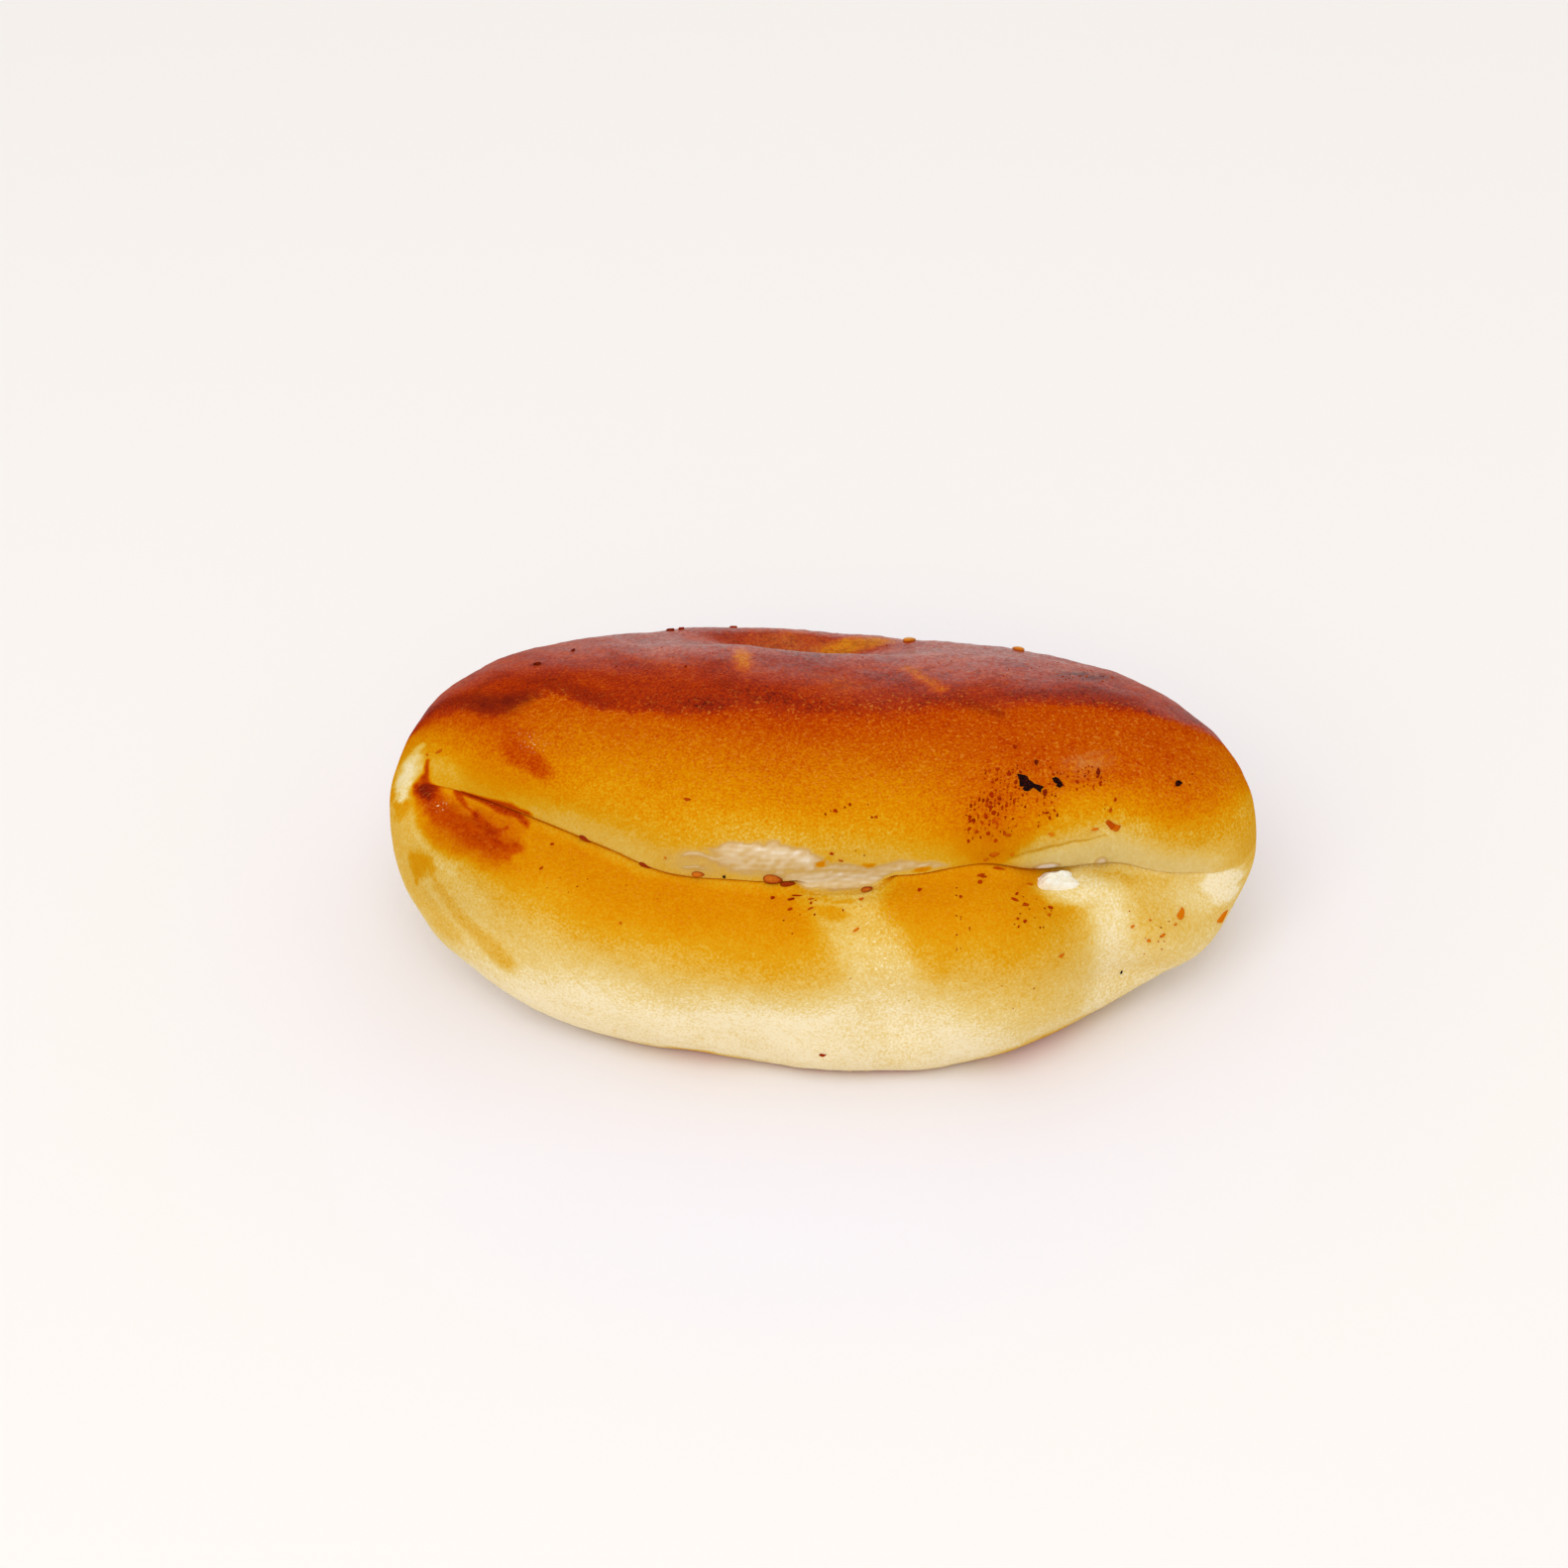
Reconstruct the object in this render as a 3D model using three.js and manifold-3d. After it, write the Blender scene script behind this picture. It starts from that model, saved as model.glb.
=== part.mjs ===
// A stuffed bun of soft egg-washed dough, baked long and oval. The dough is folded over a white
// cheese filling, so that an upper lobe rolls down over a lower one. The seam between them runs
// along the front, and a little of the cheese shows in a gap of it near the right end.
// Millimetres. X runs along the bun, -Y is its front, +Z is up and it rests on z = 0.

import * as THREE from "three";
import { mergeVertices } from "three/addons/utils/BufferGeometryUtils.js";
import Module from "manifold-3d";

// The loaf before its lobes, folds and dents are pressed in.
const HALF_LENGTH = 68;
const FRONT = 41; // how far the front bulges from the middle plane
const BACK = 40;
const HEIGHT = 45;
const TIP_HEIGHT = 21; // of both ends, and of the widest line round the loaf
const SINK = 6.5; // how far the underside would round below the tray, if the tray didn't press it flat
const SET_BACK = 0.42; // moves the middle of its depth to y = 0
const UPPER_ROUNDNESS = 2.25; // powers of the superellipse of a section: 2 is an ellipse
const LOWER_ROUNDNESS = 3;

// How fast the plan and the height close towards each end: a higher power is blunter.
const END_POWERS = {
  front: { left: 1.87, right: 1.57 },
  back: { left: 2.96, right: 2.06 },
  top: { left: 2.92, right: 2.84 },
  base: { left: 2.09, right: 2.09 },
};

// Uneven rising of the dough along X, as a share of the front's bulge and of the height.
const FRONT_SWELL = [
  [-68, 0.023], [-56, 0.023], [-36, 0.003], [-12, -0.069], [12, 0.012],
  [34, 0.084], [50, -0.005], [60, -0.049], [68, -0.049],
];
const TOP_SWELL = [
  [-68, 0.039], [-56, 0.039], [-36, -0.002], [-12, 0.024], [12, -0.063],
  [34, -0.016], [50, 0.031], [60, -0.007], [68, -0.007],
];

// The seam: its place round the section at each x, in degrees up from the front.
const SEAM_ANGLES = [
  [-68, 58.9], [-60, 58.9], [-50, 55.1], [-40, 50.2], [-30, 43.3], [-20, 34.4], [-8, 34.4], [8, 42.2],
  [17, 42.9], [29, 44.6], [36, 38.7], [42, 32.7], [50, 24.7], [57, 10], [63, 0.9], [68, 0],
];
const SEAM_FADES = { left: [-65, -54], right: [60, 68] };
const RECESS = { depth: 3.4, above: 9, below: 6.5 }; // the lobes turn in towards the seam
const SLIT_DEPTHS = [
  [-68, 0.5], [-55, 0.7], [-42, 1], [-30, 1], [-10, 1.1], [0, 0.9], [10, 0.6], [17, 0.7], [29, 0.8],
  [40, 1.7], [52, 0.8], [68, 0.4],
];
const SLIT = { above: 0.9, below: 1.3, tuck: 2 }; // tuck: how far the slit slants up under the upper lobe
const LOWER_LOBE = { swell: 1.8, below: 12, spread: 7 };

// Two folds run down the lower lobe from the seam and drift to the right as they go.
const FOLDS = [
  { depth: 2.4, x: 7.4, drift: 7.4, span: 47, width: 6, fade: [-30, -2] },
  { depth: 2.6, x: 40, drift: 8, span: 60, width: 5.5, fade: [-45, -15] },
];
const FOLD_TOP = 40; // the section angle at which a fold starts to drift
const FOLD_START = [0.5, 7]; // below the seam, over which a fold comes in

const DENT = { depth: 5.2, x: -6, halfLength: 13, angle: 128, halfWidth: 9, steepness: 2.4 };
const DIP = { depth: 0.8, x: -4, halfLength: 28, angle: 128, halfWidth: 10 }; // round the dent
const END_POCKET = { depth: 1.4, x: -50, halfLength: 8, below: 6, halfWidth: 5 };
const LIP_CREASE = { depth: 0.5, x: 38, halfLength: 8, above: 4.6, rise: 0.27, halfWidth: 0.9 };

// The gap in the seam and the cheese in it.
const GAP = { depth: 2.6, x: 40, halfLength: 5.5, below: 1.4, halfWidth: 2.4 };
const CHEESE = { x: 41.2, below: 2, halfLength: 4.7, halfHeight: 1.9, halfDepth: 6.5, proud: 1.7 };
const CLEARANCE = 0.3; // between the cheese and the dough round it

// Sesame seeds, and flakes of burnt topping.
const SEED = { halfLength: 1.5, halfWidth: 0.85, halfThickness: 0.5, taper: 0.22, rise: 0.15 };
const SEAM_SEEDS = [
  { x: -33.5, d: 1, size: 0.7 }, { x: -23.8, d: 0.4, size: 0.75 }, { x: -15.4, d: 1.7, size: 0.65 },
  { x: -4.1, d: 1.4, size: 1 }, { x: -1.2, d: 0.3, size: 0.65 }, { x: 10.9, d: -1.1, size: 0.6 },
];
const TOP_SEEDS = [
  [12.2, 141], [29.6, 138],
];
const BACK_SEEDS = { count: 7, halfSpan: 46, angles: [148, 172] };
const FLAKE_THICKNESS = 0.9;
const FLAKE_RISE = 0.1;
const FLAKES = [
  { x: 33.5, measure: "d", at: 14.6, radius: 1.6 },
  { x: 38.2, measure: "d", at: 14.8, radius: 0.9 },
  { x: 55.6, measure: "d", at: 16.1, radius: 0.8 },
  { x: 47.1, measure: "d", at: 7.2, radius: 1 },
  { x: 57.1, measure: "d", at: -5.6, radius: 0.9 },
  { x: 62.8, measure: "d", at: -8.2, radius: 1.1 },
  { x: -26.1, measure: "degrees", at: 139, radius: 0.9 },
  { x: -16.5, measure: "degrees", at: 143, radius: 0.9 },
];

// Fineness of the surface.
const RINGS = 64;
const COLUMNS = 70;
const RING_PITCH_POWER = 0.95; // rings crowd towards the ends
const SEAM_CROWDING = 0.7; // columns crowd towards the seam
const SUBSTEPS = 4; // between two columns, for lengths round a section
const TINY = 1e-4;
const DEGREE = Math.PI / 180;

const wasm = await Module();
wasm.setup();

function clamp01(value) {
  return Math.min(1, Math.max(0, value));
}

// 1 at the middle, closing to 0 at t = 1 like a superellipse.
function cap(t, power) {
  return Math.pow(Math.max(0, 1 - Math.pow(Math.abs(t), power)), 1 / power);
}

function bell(value, centre, halfWidth) {
  return Math.exp(-(((value - centre) / halfWidth) ** 2));
}

function ramp(value, [from, to]) {
  return THREE.MathUtils.smoothstep((value - from) / (to - from), 0, 1);
}

// A smooth curve through [x, value] points, with the slopes of uneven central differences.
function through(points, x) {
  const last = points.length - 1;
  const slopeBetween = (i) => (points[i + 1][1] - points[i][1]) / (points[i + 1][0] - points[i][0]);
  const slopeAt = (i) => {
    if (i === 0) return slopeBetween(0);
    if (i === last) return slopeBetween(last - 1);
    const before = points[i][0] - points[i - 1][0];
    const after = points[i + 1][0] - points[i][0];
    return (slopeBetween(i - 1) * after + slopeBetween(i) * before) / (before + after);
  };
  let i = 0;
  while (i < last - 1 && x > points[i + 1][0]) i += 1;
  const [x0, y0] = points[i];
  const [x1, y1] = points[i + 1];
  const span = x1 - x0;
  const k = clamp01((x - x0) / span);
  const k2 = k * k;
  const k3 = k2 * k;
  return (
    (2 * k3 - 3 * k2 + 1) * y0 +
    (k3 - 2 * k2 + k) * span * slopeAt(i) +
    (3 * k2 - 2 * k3) * y1 +
    (k3 - k2) * span * slopeAt(i + 1)
  );
}

function endCap(t, powers) {
  return cap(t, t < 0 ? powers.left : powers.right);
}

// A point of the plain loaf, at t from -1 to 1 along it and at an angle round its section:
// 0 is the front, a quarter turn the top, a half turn the back.
function loafPoint(t, angle) {
  const x = HALF_LENGTH * t;
  const c = Math.cos(angle);
  const s = Math.sin(angle);
  const roundness = s > 0 ? UPPER_ROUNDNESS : LOWER_ROUNDNESS;
  const across = Math.sign(c) * Math.pow(Math.abs(c), 2 / roundness);
  const upward = Math.sign(s) * Math.pow(Math.abs(s), 2 / roundness);
  const front = FRONT * endCap(t, END_POWERS.front) * (1 + through(FRONT_SWELL, x));
  const back = BACK * endCap(t, END_POWERS.back);
  const above = (HEIGHT - TIP_HEIGHT) * endCap(t, END_POWERS.top) * (1 + through(TOP_SWELL, x));
  const below = (TIP_HEIGHT + SINK) * endCap(t, END_POWERS.base);
  const y = -(c > 0 ? front : back) * across;
  const z = TIP_HEIGHT + (s > 0 ? above : below) * upward;
  return new THREE.Vector3(x, y, z);
}

// The angle round the section at w from -1 to 1, where 0 is the seam, with more of them near it.
function angleAt(x, w) {
  const crowded = w - (SEAM_CROWDING * Math.sin(Math.PI * w)) / Math.PI;
  return through(SEAM_ANGLES, x) * DEGREE + Math.PI * crowded;
}

// Degrees from -90 to 270.
function degreesOf(angle) {
  return THREE.MathUtils.euclideanModulo(angle / DEGREE + 90, 360) - 90;
}

function seamOpenness(x) {
  return ramp(x, SEAM_FADES.left) * (1 - ramp(x, SEAM_FADES.right));
}

function foldDepth(fold, x, degrees, below) {
  const down = Math.min(1.2, Math.max(0, (FOLD_TOP - degrees) / fold.span));
  const there = bell(x, fold.x + fold.drift * down, fold.width);
  return fold.depth * there * ramp(degrees, fold.fade) * ramp(below, FOLD_START);
}

// What is pressed into the loaf or swells from it, outward, and how far the slit's walls shift
// up under the upper lobe. d is the length round the section from the seam, positive upwards.
function relief(x, degrees, d) {
  const open = seamOpenness(x);
  const above = Math.max(d, 0);
  const below = Math.max(-d, 0);
  const slit = open * Math.exp(-above / SLIT.above - below / SLIT.below);
  let out = -RECESS.depth * open * bell(d, 0, d > 0 ? RECESS.above : RECESS.below);
  out -= through(SLIT_DEPTHS, x) * slit;
  if (d < 0) out += LOWER_LOBE.swell * open * bell(below, LOWER_LOBE.below, LOWER_LOBE.spread);
  for (const fold of FOLDS) out -= foldDepth(fold, x, degrees, below);
  const dentAcross = Math.pow(Math.abs(degrees - DENT.angle) / DENT.halfWidth, DENT.steepness);
  out -= DENT.depth * bell(x, DENT.x, DENT.halfLength) * Math.exp(-dentAcross);
  out -= DIP.depth * bell(x, DIP.x, DIP.halfLength) * bell(degrees, DIP.angle, DIP.halfWidth);
  for (const hollow of [END_POCKET, GAP]) {
    out -= hollow.depth * bell(x, hollow.x, hollow.halfLength) * bell(d, -hollow.below, hollow.halfWidth);
  }
  const creaseAt = LIP_CREASE.above + LIP_CREASE.rise * (x - LIP_CREASE.x);
  out -= LIP_CREASE.depth * bell(x, LIP_CREASE.x, LIP_CREASE.halfLength) * bell(d, creaseAt, LIP_CREASE.halfWidth);
  return { out, tuck: SLIT.tuck * slit };
}

// The finished crust at t, at an angle and at length d from the seam.
function crustPoint(t, angle, d) {
  const base = loafPoint(t, angle);
  const round = loafPoint(t, angle + TINY).sub(loafPoint(t, angle - TINY)).normalize();
  const along = loafPoint(t + TINY, angle).sub(loafPoint(t - TINY, angle)).normalize();
  const outward = along.clone().cross(round).normalize();
  const share = Math.min(1, cap(t, 2.2) * 1.6); // the relief dies out at the very ends
  const { out, tuck } = relief(base.x, degreesOf(angle), d);
  base.addScaledVector(outward, out * share).addScaledVector(round, tuck * share);
  base.z = Math.max(base.z, 0);
  base.y += SET_BACK;
  return base;
}

// The points of one ring of the crust, from the underside up the front, over the top and back down.
function ringAt(t, columns) {
  const x = HALF_LENGTH * t;
  const samples = [];
  for (let k = 0; k <= columns * SUBSTEPS; k += 1) {
    const angle = angleAt(x, (2 * k) / (columns * SUBSTEPS) - 1);
    const reach = k === 0 ? 0 : loafPoint(t, angle).distanceTo(loafPoint(t, samples[k - 1].angle));
    samples.push({ angle, length: k === 0 ? 0 : samples[k - 1].length + reach });
  }
  const atSeam = samples[(columns * SUBSTEPS) / 2].length;
  return samples
    .filter((sample, k) => k % SUBSTEPS === 0)
    .map(({ angle, length }) => {
      const d = length - atSeam;
      return { degrees: degreesOf(angle), d, point: crustPoint(t, angle, d) };
    });
}

function crustGeometry() {
  const vertices = [];
  const faces = [];
  for (let i = 1; i < RINGS; i += 1) {
    const sine = Math.sin((Math.PI * i) / RINGS - Math.PI / 2);
    const t = Math.sign(sine) * Math.pow(Math.abs(sine), RING_PITCH_POWER);
    for (const { point } of ringAt(t, COLUMNS).slice(0, COLUMNS)) vertices.push(...point.toArray());
  }
  const leftTip = vertices.length / 3;
  const rightTip = leftTip + 1;
  vertices.push(-HALF_LENGTH, SET_BACK, TIP_HEIGHT, HALF_LENGTH, SET_BACK, TIP_HEIGHT);
  for (let j = 0; j < COLUMNS; j += 1) {
    const next = (j + 1) % COLUMNS;
    const lastRing = (RINGS - 2) * COLUMNS;
    faces.push(leftTip, j, next);
    faces.push(rightTip, lastRing + next, lastRing + j);
    for (let i = 0; i < RINGS - 2; i += 1) {
      const near = i * COLUMNS;
      const far = near + COLUMNS;
      faces.push(near + j, far + j, far + next, near + j, far + next, near + next);
    }
  }
  const geometry = new THREE.BufferGeometry();
  geometry.setAttribute("position", new THREE.Float32BufferAttribute(vertices, 3));
  geometry.setIndex(faces);
  return geometry;
}

// A place on the crust as a frame: x along the bun, y up round the section, z outward. It is the
// point of the ring at x whose measure, d or degrees, comes nearest to the value asked for.
function spotOn(x, measure, value) {
  const t = x / HALF_LENGTH;
  const ring = ringAt(t, COLUMNS * SUBSTEPS);
  const misses = ring.map((sample) => Math.abs(sample[measure] - value));
  const k = misses.indexOf(Math.min(...misses));
  const beside = ringAt(t + 1 / HALF_LENGTH, COLUMNS * SUBSTEPS)[k].point;
  const along = beside.clone().sub(ring[k].point).normalize();
  const round = ring[k + 1].point.clone().sub(ring[k - 1].point).normalize();
  const outward = along.clone().cross(round).normalize();
  const upward = outward.clone().cross(along);
  return new THREE.Matrix4().makeBasis(along, upward, outward).setPosition(ring[k].point);
}

// The geometry turned by an angle about the outward axis of a spot, raised by rise and placed there.
function placedAt(spot, geometry, turn, rise) {
  const local = new THREE.Matrix4().makeRotationZ(turn).setPosition(0, 0, rise);
  return geometry.applyMatrix4(spot.clone().multiply(local));
}

function solidOf(geometry) {
  geometry.deleteAttribute("normal");
  geometry.deleteAttribute("uv");
  const merged = mergeVertices(geometry, 1e-5);
  return new wasm.Manifold(
    new wasm.Mesh({
      numProp: 3,
      vertProperties: merged.attributes.position.array,
      triVerts: new Uint32Array(merged.index.array),
    }),
  );
}

function meshOf(name, solid, material) {
  const { vertProperties, triVerts } = solid.getMesh();
  const geometry = new THREE.BufferGeometry();
  geometry.setAttribute("position", new THREE.BufferAttribute(vertProperties, 3));
  geometry.setIndex(new THREE.BufferAttribute(triVerts, 1));
  geometry.computeVertexNormals();
  const mesh = new THREE.Mesh(geometry, material);
  mesh.name = name;
  return mesh;
}

// A crumbly lump of cheese, grown all round by a margin: a ball squared a little and made uneven.
function cheeseGeometry(margin) {
  const geometry = new THREE.SphereGeometry(1, 22, 14);
  const position = geometry.getAttribute("position");
  const direction = new THREE.Vector3();
  const halves = new THREE.Vector3(CHEESE.halfLength, CHEESE.halfHeight, CHEESE.halfDepth);
  for (let i = 0; i < position.count; i += 1) {
    direction.fromBufferAttribute(position, i);
    const { x, y, z } = direction;
    const squareness = Math.pow(Math.abs(x) ** 3 + Math.abs(y) ** 3 + Math.abs(z) ** 3, -1 / 3);
    const unevenness = 1 + 0.05 * Math.sin(5 * x + 3 * z) + 0.05 * Math.sin(4 * y - 5 * x + 1);
    const point = direction.multiplyScalar(squareness * unevenness).multiply(halves);
    const length = point.length();
    point.multiplyScalar((length + margin) / length);
    position.setXYZ(i, point.x, point.y, point.z);
  }
  return geometry;
}

function cheeseSolid(margin) {
  const spot = spotOn(CHEESE.x, "d", -CHEESE.below);
  return solidOf(placedAt(spot, cheeseGeometry(margin), 0, CHEESE.proud - CHEESE.halfDepth));
}

// A sesame seed: a flat drop, narrower at one end.
function seedGeometry(size) {
  const geometry = new THREE.SphereGeometry(1, 5, 4).rotateZ(Math.PI / 2);
  const position = geometry.getAttribute("position");
  for (let i = 0; i < position.count; i += 1) {
    const x = position.getX(i);
    const width = 1 - SEED.taper * x;
    const y = position.getY(i) * SEED.halfWidth * width;
    const z = position.getZ(i) * SEED.halfThickness * width;
    position.setXYZ(i, x * SEED.halfLength, y, z);
  }
  geometry.scale(size, size, size);
  return geometry;
}

// A burnt flake: a thin six-sided scrap with uneven corners.
function flakeGeometry(radius) {
  const geometry = new THREE.CylinderGeometry(radius, radius, FLAKE_THICKNESS, 6).rotateX(Math.PI / 2);
  const position = geometry.getAttribute("position");
  for (let i = 0; i < position.count; i += 1) {
    const x = position.getX(i);
    const y = position.getY(i);
    const uneven = 1 + 0.22 * Math.sin(3 * Math.atan2(y, x) + radius);
    position.setXY(i, x * uneven, y * uneven * 0.75);
  }
  return geometry;
}

// Repeatable draws from 0 to 1.
function draws(seed) {
  let state = seed;
  return () => {
    state = (state * 1664525 + 1013904223) % 4294967296;
    return state / 4294967296;
  };
}

function seedSolids() {
  const draw = draws(7);
  const spots = [
    ...SEAM_SEEDS.map(({ x, d, size }) => ({ spot: spotOn(x, "d", d), turn: 0, size })),
    ...TOP_SEEDS.map(([x, degrees]) => ({ spot: spotOn(x, "degrees", degrees), turn: Math.PI * draw(), size: 1 })),
  ];
  for (let i = 0; i < BACK_SEEDS.count; i += 1) {
    const x = BACK_SEEDS.halfSpan * ((2 * (i + draw())) / BACK_SEEDS.count - 1);
    const degrees = THREE.MathUtils.lerp(...BACK_SEEDS.angles, draw());
    spots.push({ spot: spotOn(x, "degrees", degrees), turn: Math.PI * draw(), size: 1 });
  }
  return spots.map(({ spot, turn, size }) => solidOf(placedAt(spot, seedGeometry(size), turn, SEED.rise)));
}

function flakeSolids() {
  return FLAKES.map(({ x, measure, at, radius }) => {
    const spot = spotOn(x, measure, at);
    return solidOf(placedAt(spot, flakeGeometry(radius), x, FLAKE_RISE));
  });
}

function bunSolid() {
  let solid = solidOf(crustGeometry());
  for (const topping of [...seedSolids(), ...flakeSolids()]) solid = solid.add(topping);
  return solid.subtract(cheeseSolid(CLEARANCE));
}

const crust = new THREE.MeshStandardMaterial({ color: 0xd9933a, roughness: 0.45, metalness: 0 });
const curd = new THREE.MeshStandardMaterial({ color: 0xfaeed4, roughness: 0.6, metalness: 0 });

const pogaca = new THREE.Group();
pogaca.name = "pogaca";
pogaca.add(meshOf("bun", bunSolid(), crust));
pogaca.add(meshOf("cheese", cheeseSolid(0), curd));

export default pogaca;
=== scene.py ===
"""A stuffed bun of soft egg-washed dough: an upper lobe rolls down over a lower one, and a little
white cheese shows in a gap of the seam. Lengths are in millimetres in the frame of the part: X
runs along the bun, -Y is its front, +Z is up. A place on the crust is x and d, the length round
the section from the seam, positive up over the upper lobe and negative down the lower one."""

import math
from types import SimpleNamespace

import bpy
import numpy as np
from mathutils import Matrix, Vector


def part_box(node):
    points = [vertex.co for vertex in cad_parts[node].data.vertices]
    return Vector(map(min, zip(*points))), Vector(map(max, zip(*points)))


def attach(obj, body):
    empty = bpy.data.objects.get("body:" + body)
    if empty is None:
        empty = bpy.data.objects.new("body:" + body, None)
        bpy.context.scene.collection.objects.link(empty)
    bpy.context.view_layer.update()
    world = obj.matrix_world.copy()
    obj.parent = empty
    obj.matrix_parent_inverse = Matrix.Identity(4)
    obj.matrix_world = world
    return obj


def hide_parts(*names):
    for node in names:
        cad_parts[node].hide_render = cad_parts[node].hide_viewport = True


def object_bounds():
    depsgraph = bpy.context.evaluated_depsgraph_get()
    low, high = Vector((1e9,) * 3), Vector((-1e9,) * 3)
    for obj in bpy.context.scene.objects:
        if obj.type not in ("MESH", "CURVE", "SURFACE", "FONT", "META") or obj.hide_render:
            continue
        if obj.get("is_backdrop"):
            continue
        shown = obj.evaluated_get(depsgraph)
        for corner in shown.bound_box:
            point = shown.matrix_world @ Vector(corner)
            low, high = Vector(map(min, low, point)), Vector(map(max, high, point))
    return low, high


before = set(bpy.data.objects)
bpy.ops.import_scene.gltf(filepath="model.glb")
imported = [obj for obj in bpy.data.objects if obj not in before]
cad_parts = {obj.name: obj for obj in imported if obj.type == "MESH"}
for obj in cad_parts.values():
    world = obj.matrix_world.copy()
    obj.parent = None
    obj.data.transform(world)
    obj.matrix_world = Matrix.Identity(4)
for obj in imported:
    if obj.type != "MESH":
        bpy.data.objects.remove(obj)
cad_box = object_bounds()

MM = 0.001
PHOTO_SIDE = 1582  # pixels

# ---- form of the loaf

HALF_LENGTH = 68.0
FRONT, BACK = 41.0, 40.0
HEIGHT, TIP_HEIGHT = 45.0, 21.0
SINK = 6.5  # how far the underside would round below the tray, if it weren't pressed flat
SET_BACK = 0.42
UPPER_ROUNDNESS, LOWER_ROUNDNESS = 2.25, 3.0
END_POWERS = {  # how square the outline is, at the left and at the right end
    "front": (1.87, 1.57), "back": (2.96, 2.06), "top": (2.92, 2.84), "base": (2.09, 2.09),
}
FRONT_SWELL = [
    (-68, 0.023), (-56, 0.023), (-36, 0.003), (-12, -0.069), (12, 0.012),
    (34, 0.084), (50, -0.005), (60, -0.049), (68, -0.049),
]
TOP_SWELL = [
    (-68, 0.039), (-56, 0.039), (-36, -0.002), (-12, 0.024), (12, -0.063),
    (34, -0.016), (50, 0.031), (60, -0.007), (68, -0.007),
]
SEAM_ANGLES = [
    (-68, 58.9), (-60, 58.9), (-50, 55.1), (-40, 50.2), (-30, 43.3), (-20, 34.4), (-8, 34.4), (8, 42.2),
    (17, 42.9), (29, 44.6), (36, 38.7), (42, 32.7), (50, 24.7), (57, 10), (63, 0.9), (68, 0),
]
SEAM_REACH = (-65, -54, 60, 68)
RECESS = {"depth": 3.4, "above": 9, "below": 6.5}
SLIT_DEPTHS = [
    (-68, 0.5), (-55, 0.7), (-42, 1), (-30, 1), (-10, 1.1), (0, 0.9), (10, 0.6), (17, 0.7), (29, 0.8),
    (40, 1.7), (52, 0.8), (68, 0.4),
]
SLIT = {"above": 0.6, "below": 0.8, "tuck": 1.5}
# Below, "along", "round" and "across" are the middle and the half width of a bell along x, round the
# section in degrees, and over d.
LOWER_LOBE = {"swell": 1.8, "across": (-12, 7)}
FOLDS = [
    {"depth": 2.4, "x": 7.4, "drift": 7.4, "span": 47, "width": 6, "fade": (-30, -2)},
    {"depth": 2.6, "x": 40, "drift": 8, "span": 60, "width": 5.5, "fade": (-45, -15)},
]
FOLD_TOP = 40
FOLD_START = (0.5, 7)
DENT = {"depth": 5.2, "along": (-6, 13), "round": (128, 9), "steepness": 2.4}
DIP = {"depth": 0.8, "along": (-4, 28), "round": (128, 10)}
END_POCKET = {"depth": 1.4, "along": (-50, 8), "across": (-6, 5)}
GAP = {"depth": 2.6, "along": (40, 5.5), "across": (-1.4, 2.4)}
LIP_CREASE = {"depth": 0.5, "along": (38, 8), "above": 4.6, "rise": 0.27, "half_width": 0.9}

RINGS, COLUMNS = 330, 300
RING_PITCH_POWER = 0.95
SEAM_CROWDING = 0.72  # how much closer the columns are near the seam
BRIDGE = (-0.5, 2, 12.5, 15)  # where the silk spans the slit


def cap(t, power):
    """1 at the middle, closing to 0 at t = 1 like a superellipse."""
    return np.clip(1 - np.abs(t) ** power, 0, None) ** (1 / power)


def bell(value, centre, half_width):
    return np.exp(-(((value - centre) / half_width) ** 2))


def ramp(value, start, end):
    k = np.clip((value - start) / (end - start), 0, 1)
    return k * k * (3 - 2 * k)


def window(value, start, full, fading, end):
    """0 up to start, 1 from full to fading, and 0 again from end on."""
    return ramp(value, start, full) * (1 - ramp(value, fading, end))


def between(points, x):
    """A chain of straight lines through (x, value) points."""
    return np.interp(x, *zip(*points))


def through(points, x):
    """A smooth curve through (x, value) points."""
    px, py = np.array(points, float).T
    slope = np.gradient(py, px)
    i = np.clip(np.searchsorted(px, x) - 1, 0, len(px) - 2)
    span = px[i + 1] - px[i]
    k = np.clip((x - px[i]) / span, 0, 1)
    k2, k3 = k * k, k * k * k
    return (
        (2 * k3 - 3 * k2 + 1) * py[i]
        + (k3 - 2 * k2 + k) * span * slope[i]
        + (3 * k2 - 2 * k3) * py[i + 1]
        + (k3 - k2) * span * slope[i + 1]
    )


def end_cap(t, which):
    left, right = END_POWERS[which]
    return np.where(t < 0, cap(t, left), cap(t, right))


def loaf(t, angle):
    """Points of the plain loaf, at t along it and at an angle round its section."""
    x = HALF_LENGTH * t
    c, s = np.cos(angle), np.sin(angle)
    power = np.where(s > 0, 2 / UPPER_ROUNDNESS, 2 / LOWER_ROUNDNESS)
    across = np.sign(c) * np.abs(c) ** power
    upward = np.sign(s) * np.abs(s) ** power
    front = FRONT * end_cap(t, "front") * (1 + through(FRONT_SWELL, x))
    back = BACK * end_cap(t, "back")
    above = (HEIGHT - TIP_HEIGHT) * end_cap(t, "top") * (1 + through(TOP_SWELL, x))
    below = (TIP_HEIGHT + SINK) * end_cap(t, "base")
    y = -np.where(c > 0, front, back) * across
    z = TIP_HEIGHT + np.where(s > 0, above, below) * upward
    return np.stack([x, y, z], -1)


def unit(vectors):
    return vectors / np.maximum(np.linalg.norm(vectors, axis=-1, keepdims=True), 1e-12)


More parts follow.
